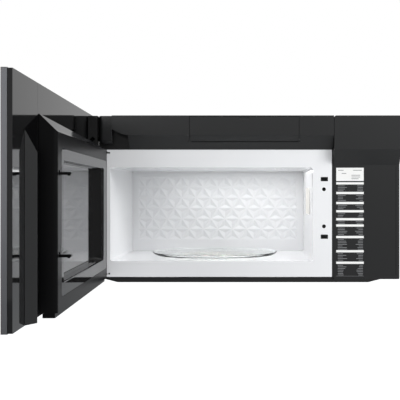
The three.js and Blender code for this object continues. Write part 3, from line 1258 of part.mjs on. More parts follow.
function lampCover() {
  const { lens, pin, clip } = cooktopLamp;
  const z = [up(-pan.drop), up(-pan.drop) + lens];
  const [x, y] = [grow(lampLensX, -gap.seam), grow(lampLensY, -gap.seam)];
  const barrel = rodX(pin, grow(lampLensX, -gap.seat), lampPivot.y, lampPivot.z, 3);
  const catches = block(span(cavityMidX, clip.width), [y[1] - clip.depth, y[1]], [z[1] - 0.2, z[1] + clip.depth]);
  return join(block(x, y, z), barrel, catches);
}

function lampHousing() {
  const { flange, height, wall, diode } = cooktopLamp;
  const [x, y] = [grow(lampLensX, flange), grow(lampLensY, flange)];
  const z = [panFloor + gap.seat, panFloor + height];
  const inside = block(grow(x, -wall), grow(y, -wall), [z[0] - past, z[1] - past]);
  const diodes = places(grow(x, -flange * 2), 4).map((dx) => block(
    span(dx, diode), span((y[0] + y[1]) / 2, diode), [z[1] - wall, z[1] - 1]));
  return join(cut(block(x, y, z), inside), ...diodes);
}

// ---------------------------------------------------------------- assembly

addPart('outer_wrap', outerWrap(), 'satinBlackSteel');
addPart('rear_panel', rearPanel(), 'zincSteel');
addPart('base_pan', basePan(), 'blackPaint');
addPart('cavity_shell', cavityShell(), 'whiteEnamel');
addPart('cavity_back', cavityBack(), 'whiteEnamel');
addPart('front_frame', frontFrame(), 'whiteEnamel');
addPart('upper_front_plate', upperFrontPlate(), 'blackPaint');
addPart('band_end_block', bandEndBlock(), 'blackMoulding');
addPart('vent_band', ventBand(), 'blackMoulding');
addPart('filter_cover', filterCoverPanel(), 'blackMoulding');
addPart('charcoal_filter', charcoalFilter(), 'charcoal');
addPart('right_fascia', rightFascia(), 'blackMoulding');
addPart('upper_hinge_bracket', hingeBracket(hingeZ[0]), 'zincSteel');
addPart('lower_hinge_bracket', hingeBracket(hingeZ[1]), 'zincSteel');

addDoorPart('door_skin', doorSkin(), 'satinBlackSteel');
addDoorPart('door_glass', steppedPane(windowX, windowZ), 'tintedGlass');
addDoorPart('touch_glass', steppedPane(touchX, touchZ), 'tintedGlass');
addDoorPart('touch_board', touchBoard(), 'board');
addDoorPart('door_inner_frame', innerFrame(), 'glossBlack');
addDoorPart('door_end_cover', endCover(), 'glossBlack');
addDoorPart('choke_box', chokeBox(), 'glossBlack');
addDoorPart('inner_pane', innerPane(), 'tintedGlass');
addDoorPart('door_screen', doorScreen(), 'blackPaint');
addDoorPart('choke_frame', chokeFrame(), 'zincSteel');
addDoorPart('handle_grip', handleGrip(), 'blackMoulding');
addDoorPart('latch_bar', latchBar(), 'blackMoulding');
addDoorPart('latch_spring', latchSpring(), 'zincSteel');
addDoorPart('latch_guide', latchGuide(), 'greyNylon');

addPart('latch_board', latchBoard(), 'whiteNylon');
addPart('door_switch_upper', interlockSwitch(slotZ.upper), 'greyNylon');
addPart('door_switch_lower', interlockSwitch(slotZ.lower), 'greyNylon');

addPart('turntable_motor', turntableMotor(), 'zincSteel');
addPart('turntable_coupler', turntableCoupler(), 'whiteNylon');
addPart('glass_tray', glassTrayPlate(), 'clearGlass');
addPart('roller_ring', rollerRing(), 'whiteNylon');
for (let i = 0; i < 3; i += 1) addPart(`roller_wheel_${i + 1}`, rollerWheel(i), 'whiteNylon');

addPart('blower_housing_left', blowerHousing(-1), 'zincSteel');
addPart('blower_housing_right', blowerHousing(1), 'zincSteel');
addPart('blower_motor', blowerMotor(), 'zincSteel');
addPart('blower_shaft', blowerShaft(), 'zincSteel');
addPart('blower_wheel_left', blowerWheel(-1), 'greyNylon');
addPart('blower_wheel_right', blowerWheel(1), 'greyNylon');
addPart('exhaust_adapter', exhaustAdapter(), 'zincSteel');
addPart('damper_flap', damperFlap(), 'zincSteel');
addPart('cooling_fan_frame', coolingFanFrame(), 'greyNylon');
addPart('cooling_fan', coolingFan(), 'greyNylon');

addPart('waveguide', waveguideDuct(), 'zincSteel');
addPart('waveguide_cover', waveguideCover(), 'mica');
addPart('magnetron', magnetronTube(), 'zincSteel');
addPart('transformer', highVoltageTransformer(), 'copper');
addPart('capacitor', highVoltageCapacitor(), 'aluminium');
addPart('main_board', mainBoard(), 'board');
addPart('cavity_lamp', cavityLamp(), 'clearGlass');
addPart('cord_inlet', cordInlet(), 'blackMoulding');
addPart('grease_filter_left', greaseFilterPanel(greaseFilterX[0]), 'aluminium');
addPart('grease_filter_right', greaseFilterPanel(greaseFilterX[1]), 'aluminium');
addPart('lamp_housing', lampHousing(), 'blackPaint');
addPart('lamp_cover', lampCover(), 'clearGlass');

export default oven;
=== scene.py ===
# Looks of an over-the-range microwave oven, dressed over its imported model.
#
# Metres, +Z up, +Y into the wall, and millimetres where a name or a comment says so. The camera,
# the lights and the floor come first, then the finishes, then the pieces that are made here, and
# then the nodes that only get a finish.

import json
import math
import random

import bmesh
import bpy
from mathutils import Matrix, Vector

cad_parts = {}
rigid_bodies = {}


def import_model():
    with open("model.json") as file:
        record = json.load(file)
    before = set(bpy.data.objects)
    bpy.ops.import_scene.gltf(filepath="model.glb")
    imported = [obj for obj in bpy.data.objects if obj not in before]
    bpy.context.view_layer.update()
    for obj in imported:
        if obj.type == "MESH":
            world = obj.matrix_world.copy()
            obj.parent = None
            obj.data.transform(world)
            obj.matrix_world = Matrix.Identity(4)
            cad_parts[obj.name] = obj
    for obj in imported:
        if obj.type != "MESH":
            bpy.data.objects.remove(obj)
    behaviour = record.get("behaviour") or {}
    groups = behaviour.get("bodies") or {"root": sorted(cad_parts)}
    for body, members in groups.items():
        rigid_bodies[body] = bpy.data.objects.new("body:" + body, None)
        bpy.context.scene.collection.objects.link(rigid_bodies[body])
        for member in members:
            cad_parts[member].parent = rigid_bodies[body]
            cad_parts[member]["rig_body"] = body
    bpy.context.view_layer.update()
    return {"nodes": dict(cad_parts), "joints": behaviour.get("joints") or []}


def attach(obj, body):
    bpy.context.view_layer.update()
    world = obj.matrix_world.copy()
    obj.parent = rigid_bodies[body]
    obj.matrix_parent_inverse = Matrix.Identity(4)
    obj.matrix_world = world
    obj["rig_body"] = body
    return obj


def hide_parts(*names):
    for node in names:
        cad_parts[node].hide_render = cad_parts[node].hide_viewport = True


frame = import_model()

MM = 0.001
NODES = frame["nodes"]


# ---------------------------------------------------------------- small tools

def linear(hex_colour):
    """A colour written as sRGB hex, as the linear RGBA that a shader socket takes."""
    channels = [int(hex_colour[i:i + 2], 16) / 255 for i in (1, 3, 5)]
    return [c / 12.92 if c <= 0.04045 else ((c + 0.055) / 1.055) ** 2.4 for c in channels] + [1.0]


def add(tree, kind, settings=None, inputs=None):
    """Adds a node with its settings, and with values or other nodes' sockets on its inputs."""
    made = tree.nodes.new(kind)
    for name, value in (settings or {}).items():
        setattr(made, name, value)
    for name, value in (inputs or {}).items():
        if isinstance(value, bpy.types.NodeSocket):
            tree.links.new(value, made.inputs[name])
        else:
            made.inputs[name].default_value = value
    return made


def per_metre(millimetres):
    """The texture scale at which one feature is that many millimetres across."""
    return 1000.0 / millimetres


def own_mesh(name, mesh):
    """A new object of the scene with that mesh, at the origin."""
    piece = bpy.data.objects.new(name, mesh)
    bpy.context.scene.collection.objects.link(piece)
    return piece


def settle(piece):
    """Applies a piece's modifiers, so its mesh is what shows."""
    evaluated = piece.evaluated_get(bpy.context.evaluated_depsgraph_get())
    mesh = bpy.data.meshes.new_from_object(evaluated)
    piece.modifiers.clear()
    piece.data = mesh
    return piece


def dress(piece, material):
    """Gives a piece one material in place of all that it had."""
    piece.data.materials.clear()
    piece.data.materials.append(material)
    return piece


def body_of(node):
    """The moving body that a node belongs to."""
    return NODES[node]["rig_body"]


def stand_in(piece, *nodes):
    """Shows a piece in place of one or more nodes, on their body and in their finish."""
    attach(piece, body_of(nodes[0]))
    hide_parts(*nodes)
    return piece


def extra(piece, body):
    """A small piece that the model has no node for."""
    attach(piece, body)
    return piece


def grown(limits, by):
    """A low and a high limit, moved apart by that much each."""
    return limits[0] - by, limits[1] + by


def slab(x, y, z):
    """The corners and faces of a box, from its low and high corners in millimetres."""
    corners = [(a * MM, b * MM, c * MM) for c in z for b in y for a in x]
    faces = [(0, 2, 3, 1), (4, 5, 7, 6), (0, 1, 5, 4), (2, 6, 7, 3), (0, 4, 6, 2), (1, 3, 7, 5)]
    return corners, faces


def slabs(name, boxes, material):
    """One piece of several boxes."""
    points, sides = [], []
    for box in boxes:
        corners, faces = slab(*box)
        sides += [[len(points) + i for i in face] for face in faces]
        points += corners
    mesh = bpy.data.meshes.new(name)
    mesh.from_pydata(points, [], sides)
    return dress(own_mesh(name, mesh), material)


# The door's own pieces are drawn closed, in millimetres, and swung to where the door rests.
DOOR_HINGE = next(joint for joint in frame["joints"] if joint["name"] == "door_hinge")
DOOR_PIVOT = Matrix.Translation(Vector(DOOR_HINGE["pos_m"]))
DOOR_TURN = Matrix.Rotation(-math.radians(max(DOOR_HINGE["range_deg"])), 4, "Z")
DOOR_SWING = DOOR_PIVOT @ DOOR_TURN @ DOOR_PIVOT.inverted()


def swung(piece):
    """Turns a piece that was drawn on the closed door to the open door."""
    piece.data.transform(DOOR_SWING)
    return piece


# ---------------------------------------------------------------- camera, light and floor

CAMERA_PLACE = Vector((0.0034, -2.292, 0.0112))
LENS = 68.1                           # mm
SENSOR = 36                           # mm
SHIFT = (-0.1275, -0.0163)            # the photograph is a crop of a level, square-on view

WHITE = (1, 1, 1, 1)
WHITE_SEEN = 1.0                      # strength of the white room as the camera sees it
WHITE_MIRRORED = 0.62                 # its strength in reflections
WHITE_AS_LIGHT = 0.5                  # its strength as light

FLOOR_LEVEL = -1.25                   # the oven hangs above a cooktop
FLOOR_REACH = 9.0
FLOOR_GLOW = 0.72                     # lifts the floor to white for the camera

# Lamps: name, place, what it is aimed at, its width and height, and its watts.
SOFTBOXES = [
    ("key_softbox", (1.9, -2.4, 1.7), (-0.1, -0.4, 0), (1.6, 1.2), 60),
    ("fill_softbox", (-1.6, -2.6, 0.6), (0, -0.3, 0), (1.4, 1.6), 26),
    ("top_softbox", (0.2, -0.6, 2.4), (0, -0.3, 0), (2.0, 1.2), 22),
    ("cavity_lamp_light", (-0.02, -0.21, 0.072), (-0.02, -0.21, -0.1), (0.36, 0.24), 0.58),
]


def camera():
    """The photograph's own view."""
    data = bpy.data.cameras.new("camera")
    data.lens = LENS
    data.sensor_width = SENSOR
    data.shift_x, data.shift_y = SHIFT
    seen = bpy.data.objects.new("camera", data)
    seen.location = CAMERA_PLACE
    seen.rotation_euler = (math.pi / 2, 0, 0)
    bpy.context.scene.collection.objects.link(seen)
    bpy.context.scene.camera = seen


def softbox(name, place, aim, size, power):
    """A rectangular area lamp at a place, aimed at a point."""
    data = bpy.data.lights.new(name, "AREA")
    data.shape = "RECTANGLE"
    data.size, data.size_y = size
    data.energy = power
    lamp = bpy.data.objects.new(name, data)
    lamp.location = place
    lamp.rotation_euler = (Vector(aim) - Vector(place)).to_track_quat("-Z", "Y").to_euler()
    bpy.context.scene.collection.objects.link(lamp)


def white_room():
    """The world: white to the camera, a little greyer in reflections, softer as light."""
    world = bpy.data.worlds.new("white_room")
    bpy.context.scene.world = world
    world.use_nodes = True
    tree = world.node_tree
    tree.nodes.clear()
    path = add(tree, "ShaderNodeLightPath")
    seen = add(tree, "ShaderNodeMath", {"operation": "MAXIMUM"}, {
        0: path.outputs["Is Camera Ray"], 1: path.outputs["Is Transmission Ray"]})
    white = add(tree, "ShaderNodeBackground", inputs={"Color": WHITE, "Strength": WHITE_SEEN})
    mirrored = add(tree, "ShaderNodeBackground", inputs={
        "Color": WHITE, "Strength": WHITE_MIRRORED})
    soft = add(tree, "ShaderNodeBackground", inputs={
        "Color": linear("#eef0f2"), "Strength": WHITE_AS_LIGHT})
    lit = add(tree, "ShaderNodeMixShader", inputs={
        "Fac": path.outputs["Is Glossy Ray"], 1: soft.outputs[0], 2: mirrored.outputs[0]})
    both = add(tree, "ShaderNodeMixShader", inputs={
        "Fac": seen.outputs[0], 1: lit.outputs[0], 2: white.outputs[0]})
    add(tree, "ShaderNodeOutputWorld", inputs={"Surface": both.outputs[0]})


def floor():
    """A pale floor that the camera sees as white, with the object's shadow left on it."""
    mesh = bpy.data.meshes.new("floor")
    corners = [(x * FLOOR_REACH, y * FLOOR_REACH, FLOOR_LEVEL)
               for x, y in ((-1, -1), (1, -1), (1, 1), (-1, 1))]
    mesh.from_pydata(corners, [], [(0, 1, 2, 3)])
    material = bpy.data.materials.new("pale_floor")
    material.use_nodes = True
    tree = material.node_tree
    tree.nodes.clear()
    path = add(tree, "ShaderNodeLightPath")
    seen = add(tree, "ShaderNodeMath", {"operation": "MAXIMUM"}, {
        0: path.outputs["Is Transmission Ray"], 1: path.outputs["Is Camera Ray"]})
    pale = add(tree, "ShaderNodeBsdfDiffuse", inputs={"Color": linear("#e6e7e8")})
    glow = add(tree, "ShaderNodeEmission", inputs={"Color": WHITE, "Strength": FLOOR_GLOW})
    lit = add(tree, "ShaderNodeAddShader", inputs={0: pale.outputs[0], 1: glow.outputs[0]})
    both = add(tree, "ShaderNodeMixShader", inputs={
        "Fac": seen.outputs[0], 1: pale.outputs[0], 2: lit.outputs[0]})
    add(tree, "ShaderNodeOutputMaterial", inputs={"Surface": both.outputs[0]})
    plane = own_mesh("floor", mesh)
    dress(plane, material)


bpy.context.scene.view_settings.view_transform = "Standard"
camera()
white_room()
floor()
for lamp_facts in SOFTBOXES:
    softbox(*lamp_facts)


# ---------------------------------------------------------------- finishes

def surface(name, colour, roughness, metallic=0.0, ior=None, **more):
    """A material with one principled shader. Sockets that don't vary keep plain values."""
    material = bpy.data.materials.new(name)
    material.use_nodes = True
    tree = material.node_tree
    tree.nodes.clear()
    values = {"Base Color": linear(colour), "Roughness": roughness, "Metallic": metallic}
    if ior is not None:
        values["IOR"] = ior
    values.update(more)
    shader = add(tree, "ShaderNodeBsdfPrincipled", inputs=values)
    add(tree, "ShaderNodeOutputMaterial", inputs={"Surface": shader.outputs[0]})
    return material, tree, shader


def mapped(tree, scale=(1, 1, 1)):
    """The piece's own coordinates, stretched by that scale."""
    where = add(tree, "ShaderNodeTexCoord")
    return add(tree, "ShaderNodeMapping", inputs={
        "Vector": where.outputs["Object"], "Scale": scale}).outputs[0]


def two_tone(tree, shader, share, first, second):
    """The first colour where the share is nought and the second where it is one."""
    mixed = add(tree, "ShaderNodeMix", {"data_type": "RGBA"}, {
        0: share, 6: linear(first), 7: linear(second)})
    tree.links.new(mixed.outputs[2], shader.inputs["Base Color"])


def roughened(tree, shader, value, low, high):
    """A roughness that runs from low to high with the value."""
    rough = add(tree, "ShaderNodeMapRange", inputs={"Value": value, "To Min": low, "To Max": high})
    tree.links.new(rough.outputs[0], shader.inputs["Roughness"])


def relief(tree, shader, height, micrometres, sunk=False):
    """Bump of that depth, raised where the height is one, or sunk there."""
    raised = add(tree, "ShaderNodeBump", {"invert": sunk}, {
        "Height": height, "Strength": 1.0, "Distance": micrometres * 1e-6})
    tree.links.new(raised.outputs[0], shader.inputs["Normal"])


def grain(tree, shader, size, low, high, bump, scale=(1, 1, 1), detail=3.0):
    """Noise of that size in millimetres, as a range of roughness and a height in micrometres."""
    noise = add(tree, "ShaderNodeTexNoise", inputs={
        "Vector": mapped(tree, scale), "Scale": per_metre(size), "Detail": detail})
    roughened(tree, shader, noise.outputs[0], low, high)
    relief(tree, shader, noise.outputs[0], bump)


def mottle(tree, shader, size, first, second):
    """A slow drift between two close colours."""
    noise = add(tree, "ShaderNodeTexNoise", inputs={
        "Vector": mapped(tree), "Scale": per_metre(size), "Detail": 2.0})
    two_tone(tree, shader, noise.outputs[0], first, second)


def textured_abs():
    # Injection-moulded ABS in charcoal, with a fine spark-eroded grain: even, with a soft sheen.
    material, tree, shader = surface("charcoal_textured_abs", "#0f1011", 0.42, ior=1.46)
    grain(tree, shader, 0.9, 0.36, 0.46, 9)
    mottle(tree, shader, 60, "#0e0f10", "#111213")
    return material


def gloss_abs():
    # High-gloss black ABS: a near-mirror skin with the faint waviness of a moulding.
    material, tree, shader = surface("black_gloss_abs", "#050506", 0.05, ior=1.5)
    grain(tree, shader, 45, 0.03, 0.07, 8, detail=1.0)
    return material


def flange_painted_reflection():
    # The choke cover's sloped flange: the same ABS in a lighter, more mirror-like copy, a painted
    # reflection of the bright light its upward faces catch.
    material, tree, shader = surface("flange_painted_reflection_abs", "#2a2b2d", 0.06, ior=2.6)
    grain(tree, shader, 30, 0.05, 0.08, 6, detail=1.0)
    return material


def satin_abs():
    # Black ABS from a lightly blasted tool, used for the choke cover and the latch.
    material, tree, shader = surface("black_satin_abs", "#050506", 0.3, ior=1.2)
    grain(tree, shader, 1.2, 0.26, 0.36, 8)
    return material


def black_stainless():
    # Stainless sheet brushed along its length under a dark clear coat.
    material, tree, shader = surface(
        "black_brushed_stainless", "#5c5d60", 0.34, 1.0,
        **{"Coat Weight": 0.3, "Coat Roughness": 0.2})
    grain(tree, shader, 1.1, 0.28, 0.42, 5, scale=(0.02, 1, 1), detail=5.0)
    return material


def coated_steel():
    # Powder-coated steel of the cabinet: dark grey with a fine orange peel.
    material, tree, shader = surface("charcoal_powder_coat", "#1d1e1f", 0.4, ior=1.5)
    grain(tree, shader, 1.6, 0.36, 0.5, 22)
    return material


def black_paint_and_shade():
    # Flat black stoved paint on pressed steel. The same black stands as painted shade on the hinge
    # brackets and on the plate over the frame's corner under the end block's foot.
    material, tree, shader = surface("black_stoved_paint_and_shade", "#070708", 0.45, ior=1.45)
    grain(tree, shader, 1.0, 0.38, 0.52, 8)
    return material


def white_enamel():
    # Cool white epoxy enamel baked on the oven's sheet steel, nearly smooth.
    material, tree, shader = surface("white_baked_enamel", "#eeeff0", 0.2, ior=1.52)
    grain(tree, shader, 2.4, 0.16, 0.24, 10)
    mottle(tree, shader, 90, "#ecedef", "#f1f1f2")
    return material


def zinc_plate():
    # Galvanised sheet: spangles some millimetres across, each a slightly different grey.
    material, tree, shader = surface("zinc_plated_steel", "#a7aaad", 0.4, 1.0)
    spangle = add(tree, "ShaderNodeTexVoronoi", inputs={
        "Vector": mapped(tree), "Scale": per_metre(14)})
    two_tone(tree, shader, spangle.outputs["Color"], "#a2a5a8", "#afb2b4")
    roughened(tree, shader, spangle.outputs["Distance"], 0.3, 0.48)
    return material


def bright_steel():
    # Drawn steel pins and screw heads, lightly polished by the tool.
    material, tree, shader = surface("bright_drawn_steel", "#c4c6c8", 0.25, 1.0)
    grain(tree, shader, 0.6, 0.2, 0.34, 3)
    return material


def smoked_glass():
    # Float glass with a dark print on its inner face: black, sharp reflections.
    material, tree, shader = surface("smoked_float_glass", "#040405", 0.02, ior=1.5)
    grain(tree, shader, 300, 0.015, 0.03, 20, detail=0.0)
    return material


def tray_glass():
    # Tempered soda-lime glass, clear across and faintly green along its edge.
    material, tree, shader = surface(
        "tempered_clear_glass", "#fdfffe", 0.03, ior=1.1, **{"Transmission Weight": 1.0})
    grain(tree, shader, 120, 0.02, 0.04, 30, detail=0.0)
    return material


def natural_nylon():
    # Unfilled nylon: warm white, slightly waxy.
    material, tree, shader = surface(
        "natural_nylon", "#e3e0d8", 0.45, ior=1.53,
        **{"Subsurface Weight": 0.1, "Subsurface Scale": 0.002})
    grain(tree, shader, 1.5, 0.4, 0.5, 6)
    return material


def grey_nylon():
    # Glass-filled nylon: mid grey with the streaks of its fibres.
    material, tree, shader = surface("glass_filled_nylon", "#6f7173", 0.5, ior=1.53)
    grain(tree, shader, 1.4, 0.44, 0.6, 12, scale=(0.3, 1, 1))
    return material


def circuit_board():
    # Fibreglass board under green solder mask, with fine copper lanes.
    material, tree, shader = surface("green_circuit_board", "#24543a", 0.35, ior=1.5)
    lanes = add(tree, "ShaderNodeTexVoronoi", {"distance": "CHEBYCHEV"}, {
        "Vector": mapped(tree), "Scale": per_metre(7)})
    copper = add(tree, "ShaderNodeMapRange", inputs={
        "Value": lanes.outputs["Distance"], "From Min": 0.42, "From Max": 0.5})
    two_tone(tree, shader, copper.outputs[0], "#1d4a31", "#3a7350")
    return material


def mica_sheet():
    # Pressed mica: pale buff, with flakes a few millimetres across.
    material, tree, shader = surface("pressed_mica", "#dbd9d3", 0.55, ior=1.58)
    flakes = add(tree, "ShaderNodeTexVoronoi", inputs={
        "Vector": mapped(tree), "Scale": per_metre(3)})
    two_tone(tree, shader, flakes.outputs["Distance"], "#dedcd7", "#d3d0c8")
    return material


def charcoal_foam():
    # Charcoal-loaded foam: dead black with open pores.
    material, tree, shader = surface("charcoal_foam", "#161617", 0.9, ior=1.4)
    grain(tree, shader, 1.4, 0.8, 1.0, 350, detail=6.0)
    return material


def aluminium():
    # Drawn aluminium can: bright, slightly scuffed.
    material, tree, shader = surface("pressed_aluminium", "#c9cbce", 0.3, 1.0)
    grain(tree, shader, 3.0, 0.24, 0.4, 10)
    return material


def filter_mesh():
    # Layers of expanded aluminium: bright strands round dark diamonds a few millimetres wide.
    material, tree, shader = surface("expanded_aluminium_mesh", "#a9abae", 0.35, 1.0)
    diamonds = add(tree, "ShaderNodeTexVoronoi", {"feature": "DISTANCE_TO_EDGE"}, {
        "Vector": mapped(tree, (1, 0.6, 1)), "Scale": per_metre(4), "Randomness": 0.15})
    gap = add(tree, "ShaderNodeMapRange", inputs={
        "Value": diamonds.outputs["Distance"], "From Min": 0.08, "From Max": 0.22})
    two_tone(tree, shader, gap.outputs[0], "#b4b6b9", "#2b2c2e")
    relief(tree, shader, gap.outputs[0], 600, sunk=True)
    return material


def copper_winding():
    # Varnished copper wire wound in layers, a little over a millimetre apart.
    material, tree, shader = surface("varnished_copper", "#a2592f", 0.35, 0.9)
    wires = add(tree, "ShaderNodeTexWave", {"bands_direction": "Z"}, {
        "Vector": mapped(tree), "Scale": per_metre(1.2) / math.tau, "Distortion": 0.0})
    relief(tree, shader, wires.outputs[1], 300)
    return material


def pierced_screen():
    # Black enamelled sheet pierced all over, with a gloss that mirrors the cavity at a slant.
    # The real holes lie 1.8 mm apart. They are drawn 3 mm apart, so that they show.
    material, tree, shader = surface("pierced_black_screen", "#040405", 0.05, ior=2.3)
    holes = add(tree, "ShaderNodeTexVoronoi", inputs={
        "Vector": mapped(tree), "Scale": per_metre(3), "Randomness": 0.0})
    sheet = add(tree, "ShaderNodeMapRange", inputs={
        "Value": holes.outputs["Distance"], "From Min": 0.3, "From Max": 0.36})
    two_tone(tree, shader, sheet.outputs[0], "#1c1d1e", "#040405")
    return material


def printed_ink(name, colour):
    # Screen-printed ink: flat, a little uneven in its cover.
    material, tree, shader = surface(name, colour, 0.5, ior=1.5)
    grain(tree, shader, 0.7, 0.42, 0.58, 3)
    return material


def felt_and_shade():
    # Black felt tape: dull, with short loose fibres. The same black stands as painted shade in the
    # hinge slots and in the groove on the fascia.
    material, tree, shader = surface("black_felt_and_shade", "#0a0a0b", 0.95, ior=1.4)
    grain(tree, shader, 0.5, 0.88, 1.0, 120, detail=5.0)
    return material


CHARCOAL = textured_abs()
GLOSS = gloss_abs()
SATIN = satin_abs()
FLANGE_PAINTED_REFLECTION = flange_painted_reflection()
STAINLESS = black_stainless()
COATED = coated_steel()
BLACK_PAINT_AND_SHADE = black_paint_and_shade()
ENAMEL = white_enamel()
ZINC = zinc_plate()
BRIGHT = bright_steel()
SMOKED = smoked_glass()
CLEAR = tray_glass()
NYLON = natural_nylon()
GREY_NYLON = grey_nylon()
BOARD = circuit_board()
MICA = mica_sheet()
FOAM = charcoal_foam()
ALUMINIUM = aluminium()
FILTER_MESH = filter_mesh()
COPPER = copper_winding()
SCREEN = pierced_screen()
WHITE_INK = printed_ink("white_printed_ink", "#f2f2f0")
GREY_INK = printed_ink("grey_printed_ink", "#8d8e90")
FELT_AND_SHADE = felt_and_shade()


# ---------------------------------------------------------------- softened copies of nodes

SAME_POINT = 2e-5                     # corners closer than this are one, in metres
FLAT = math.radians(0.3)              # faces that meet at less than this become one
SHARP = math.radians(32)              # edges sharper than this are rounded


def softened(node, radius, material):
    """A copy of a node with its sharp edges rounded to that radius, shown in its place."""
    mesh = NODES[node].data.copy()
    work = bmesh.new()
    work.from_mesh(mesh)
    bmesh.ops.remove_doubles(work, verts=work.verts, dist=SAME_POINT)
    bmesh.ops.dissolve_limit(
        work, angle_limit=FLAT, verts=work.verts, edges=work.edges, use_dissolve_boundaries=False)
    work.to_mesh(mesh)
    work.free()
    piece = own_mesh(node + "_dressed", mesh)
    rounding = piece.modifiers.new("rounding", "BEVEL")
    rounding.width = radius
    rounding.segments = 2
    rounding.limit_method = "ANGLE"
    rounding.angle_limit = SHARP
    rounding.use_clamp_overlap = True
    for face in mesh.polygons:
        face.use_smooth = True
    evened = piece.modifiers.new("evened", "WEIGHTED_NORMAL")
    evened.mode = "FACE_AREA"
    evened.weight = 100
    settle(piece)
    dress(piece, material)
    return stand_in(piece, node)


# Each node with the radius of its edges in millimetres and its finish.
SOFTENED = [
    ("right_fascia", 0.7, CHARCOAL),
    ("vent_band", 0.7, CHARCOAL),
    ("band_end_block", 0.9, CHARCOAL),
    ("filter_cover", 0.6, CHARCOAL),
    ("front_frame", 0.4, ENAMEL),
    ("choke_box", 1.0, SATIN),
    ("door_inner_frame", 0.8, GLOSS),
    ("door_end_cover", 0.8, GLOSS),
    ("door_skin", 0.6, STAINLESS),
    ("handle_grip", 0.7, CHARCOAL),
    ("latch_bar", 0.5, SATIN),
    ("outer_wrap", 0.5, COATED),
    ("door_glass", 0.5, SMOKED),
    ("touch_glass", 0.5, SMOKED),
    # The hinge brackets are zinc. Black here is painted shade for the dark slots they pass
    # through.
    ("upper_hinge_bracket", 0.4, BLACK_PAINT_AND_SHADE),
    ("lower_hinge_bracket", 0.4, BLACK_PAINT_AND_SHADE),
    ("cavity_shell", 0.4, ENAMEL),
    ("glass_tray", 0.5, CLEAR),
]
DRESSED = {
    node_name: softened(node_name, edge * MM, finish) for node_name, edge, finish in SOFTENED}


def paint_reflection_on_flange(box):
    """Gives the faces of the choke box that look upwards near its top a lighter, shinier copy of
    its finish: a painted reflection.
    """
    facing_up, near_top = 0.35, 0.1
    box.materials.append(FLANGE_PAINTED_REFLECTION)
    for face in box.polygons:
        if face.normal.z > facing_up and face.center.z > near_top:
            face.material_index = 1


paint_reflection_on_flange(DRESSED["choke_box"].data)


# ---------------------------------------------------------------- the door's window, seen inside

# All in millimetres, on the closed door.
PANE_X = (-362.2, 169.2)              # the border, which lies in the box's seat
PANE_Z = (-176.7, 93.7)
PANE_Y = (-377.6, -374.7)
PANE_CORNER = 9.7
PANE_ROUND = 0.4
OPENING_X = (-318.0, 152.0)           # the border's opening
OPENING_Z = (-152.4, 72.5)
OPENING_CORNER = 6
OPENING_BEVEL = 1.2
FLANGE_X = (-358.0, 165.0)            # the screen's flange, under the border
FLANGE_Z = (-172.5, 89.5)
FLANGE_Y = (-381.2, -380.4)
FLANGE_CORNER = 8
WELL_FLOOR_Y = -393.6
WELL_STEPS = 3
WELL_LEDGE = 1.6
ARC_STEPS = 6                         # faces round a corner


def round_outline(x, z, radius):
    """A rounded rectangle in the door's plane, as (x, z) points from its lower right corner."""
    centres = [(x[1] - radius, z[0] + radius, -90), (x[1] - radius, z[1] - radius, 0),
               (x[0] + radius, z[1] - radius, 90), (x[0] + radius, z[0] + radius, 180)]
    points = []
    for middle_x, middle_z, start in centres:
        for i in range(ARC_STEPS + 1):
            angle = math.radians(start + 90 * i / ARC_STEPS)
            points.append(
                (middle_x + radius * math.cos(angle), middle_z + radius * math.sin(angle)))
    return points


def lofted(name, rings, material, closed=False, floor=False):
    """A skin through rings of (outline, depth), closed on itself or floored at its last ring."""
    mesh = bpy.data.meshes.new(name)
    count = len(rings[0][0])
    points = [(x * MM, y * MM, z * MM) for outline, y in rings for x, z in outline]
    sides = []
    pairs = len(rings) if closed else len(rings) - 1
    for ring in range(pairs):
        low, high = ring * count, (ring + 1) % len(rings) * count
        following = [(i + 1) % count for i in range(count)]
        sides += [(low + i, high + i, high + j, low + j) for i, j in enumerate(following)]
    if floor:
        sides.append(tuple((len(rings) - 1) * count + i for i in range(count)))
    mesh.from_pydata(points, [], sides)
    work = bmesh.new()
    work.from_mesh(mesh)
    bmesh.ops.recalc_face_normals(work, faces=work.faces)
    work.to_mesh(mesh)
    work.free()
    return dress(own_mesh(name, mesh), material)


def pane_border():
    """The gloss border round the window, with a bevelled inner edge."""
    back, front = PANE_Y
    wide = round_outline(PANE_X, PANE_Z, PANE_CORNER)
    rim = round_outline(
        grown(PANE_X, -PANE_ROUND), grown(PANE_Z, -PANE_ROUND), PANE_CORNER - PANE_ROUND)
    edge = round_outline(
        grown(OPENING_X, OPENING_BEVEL), grown(OPENING_Z, OPENING_BEVEL), OPENING_CORNER + 1)
    inner = round_outline(OPENING_X, OPENING_Z, OPENING_CORNER)
    rings = [(wide, back), (wide, front - PANE_ROUND), (rim, front),
             (edge, front), (inner, front - OPENING_BEVEL), (inner, back)]
    return stand_in(swung(lofted("pane_border", rings, GLOSS, closed=True)), "inner_pane")


def window_well():
    """The screen: its flange lies under the border, and it is drawn in steps down to its floor."""
    wide = round_outline(FLANGE_X, FLANGE_Z, FLANGE_CORNER)
    rings = [(wide, FLANGE_Y[0]), (wide, FLANGE_Y[1])]
    top = FLANGE_Y[1]
    drop = (top - WELL_FLOOR_Y) / WELL_STEPS
    for step in range(WELL_STEPS):
        inset = step * WELL_LEDGE
        across = (OPENING_X[0] + inset * 2, OPENING_X[1] - inset)
        outline = round_outline(across, grown(OPENING_Z, -inset), OPENING_CORNER)
        rings.append((outline, top - drop * step))
        rings.append((outline, top - drop * (step + 1)))
    well = lofted("window_well", rings, GLOSS, floor=True)
    well.data.materials.append(SCREEN)
    last = len(well.data.polygons) - 1
    well.data.polygons[last].material_index = 1
    return stand_in(swung(well), "door_screen")


pane_border()
window_well()
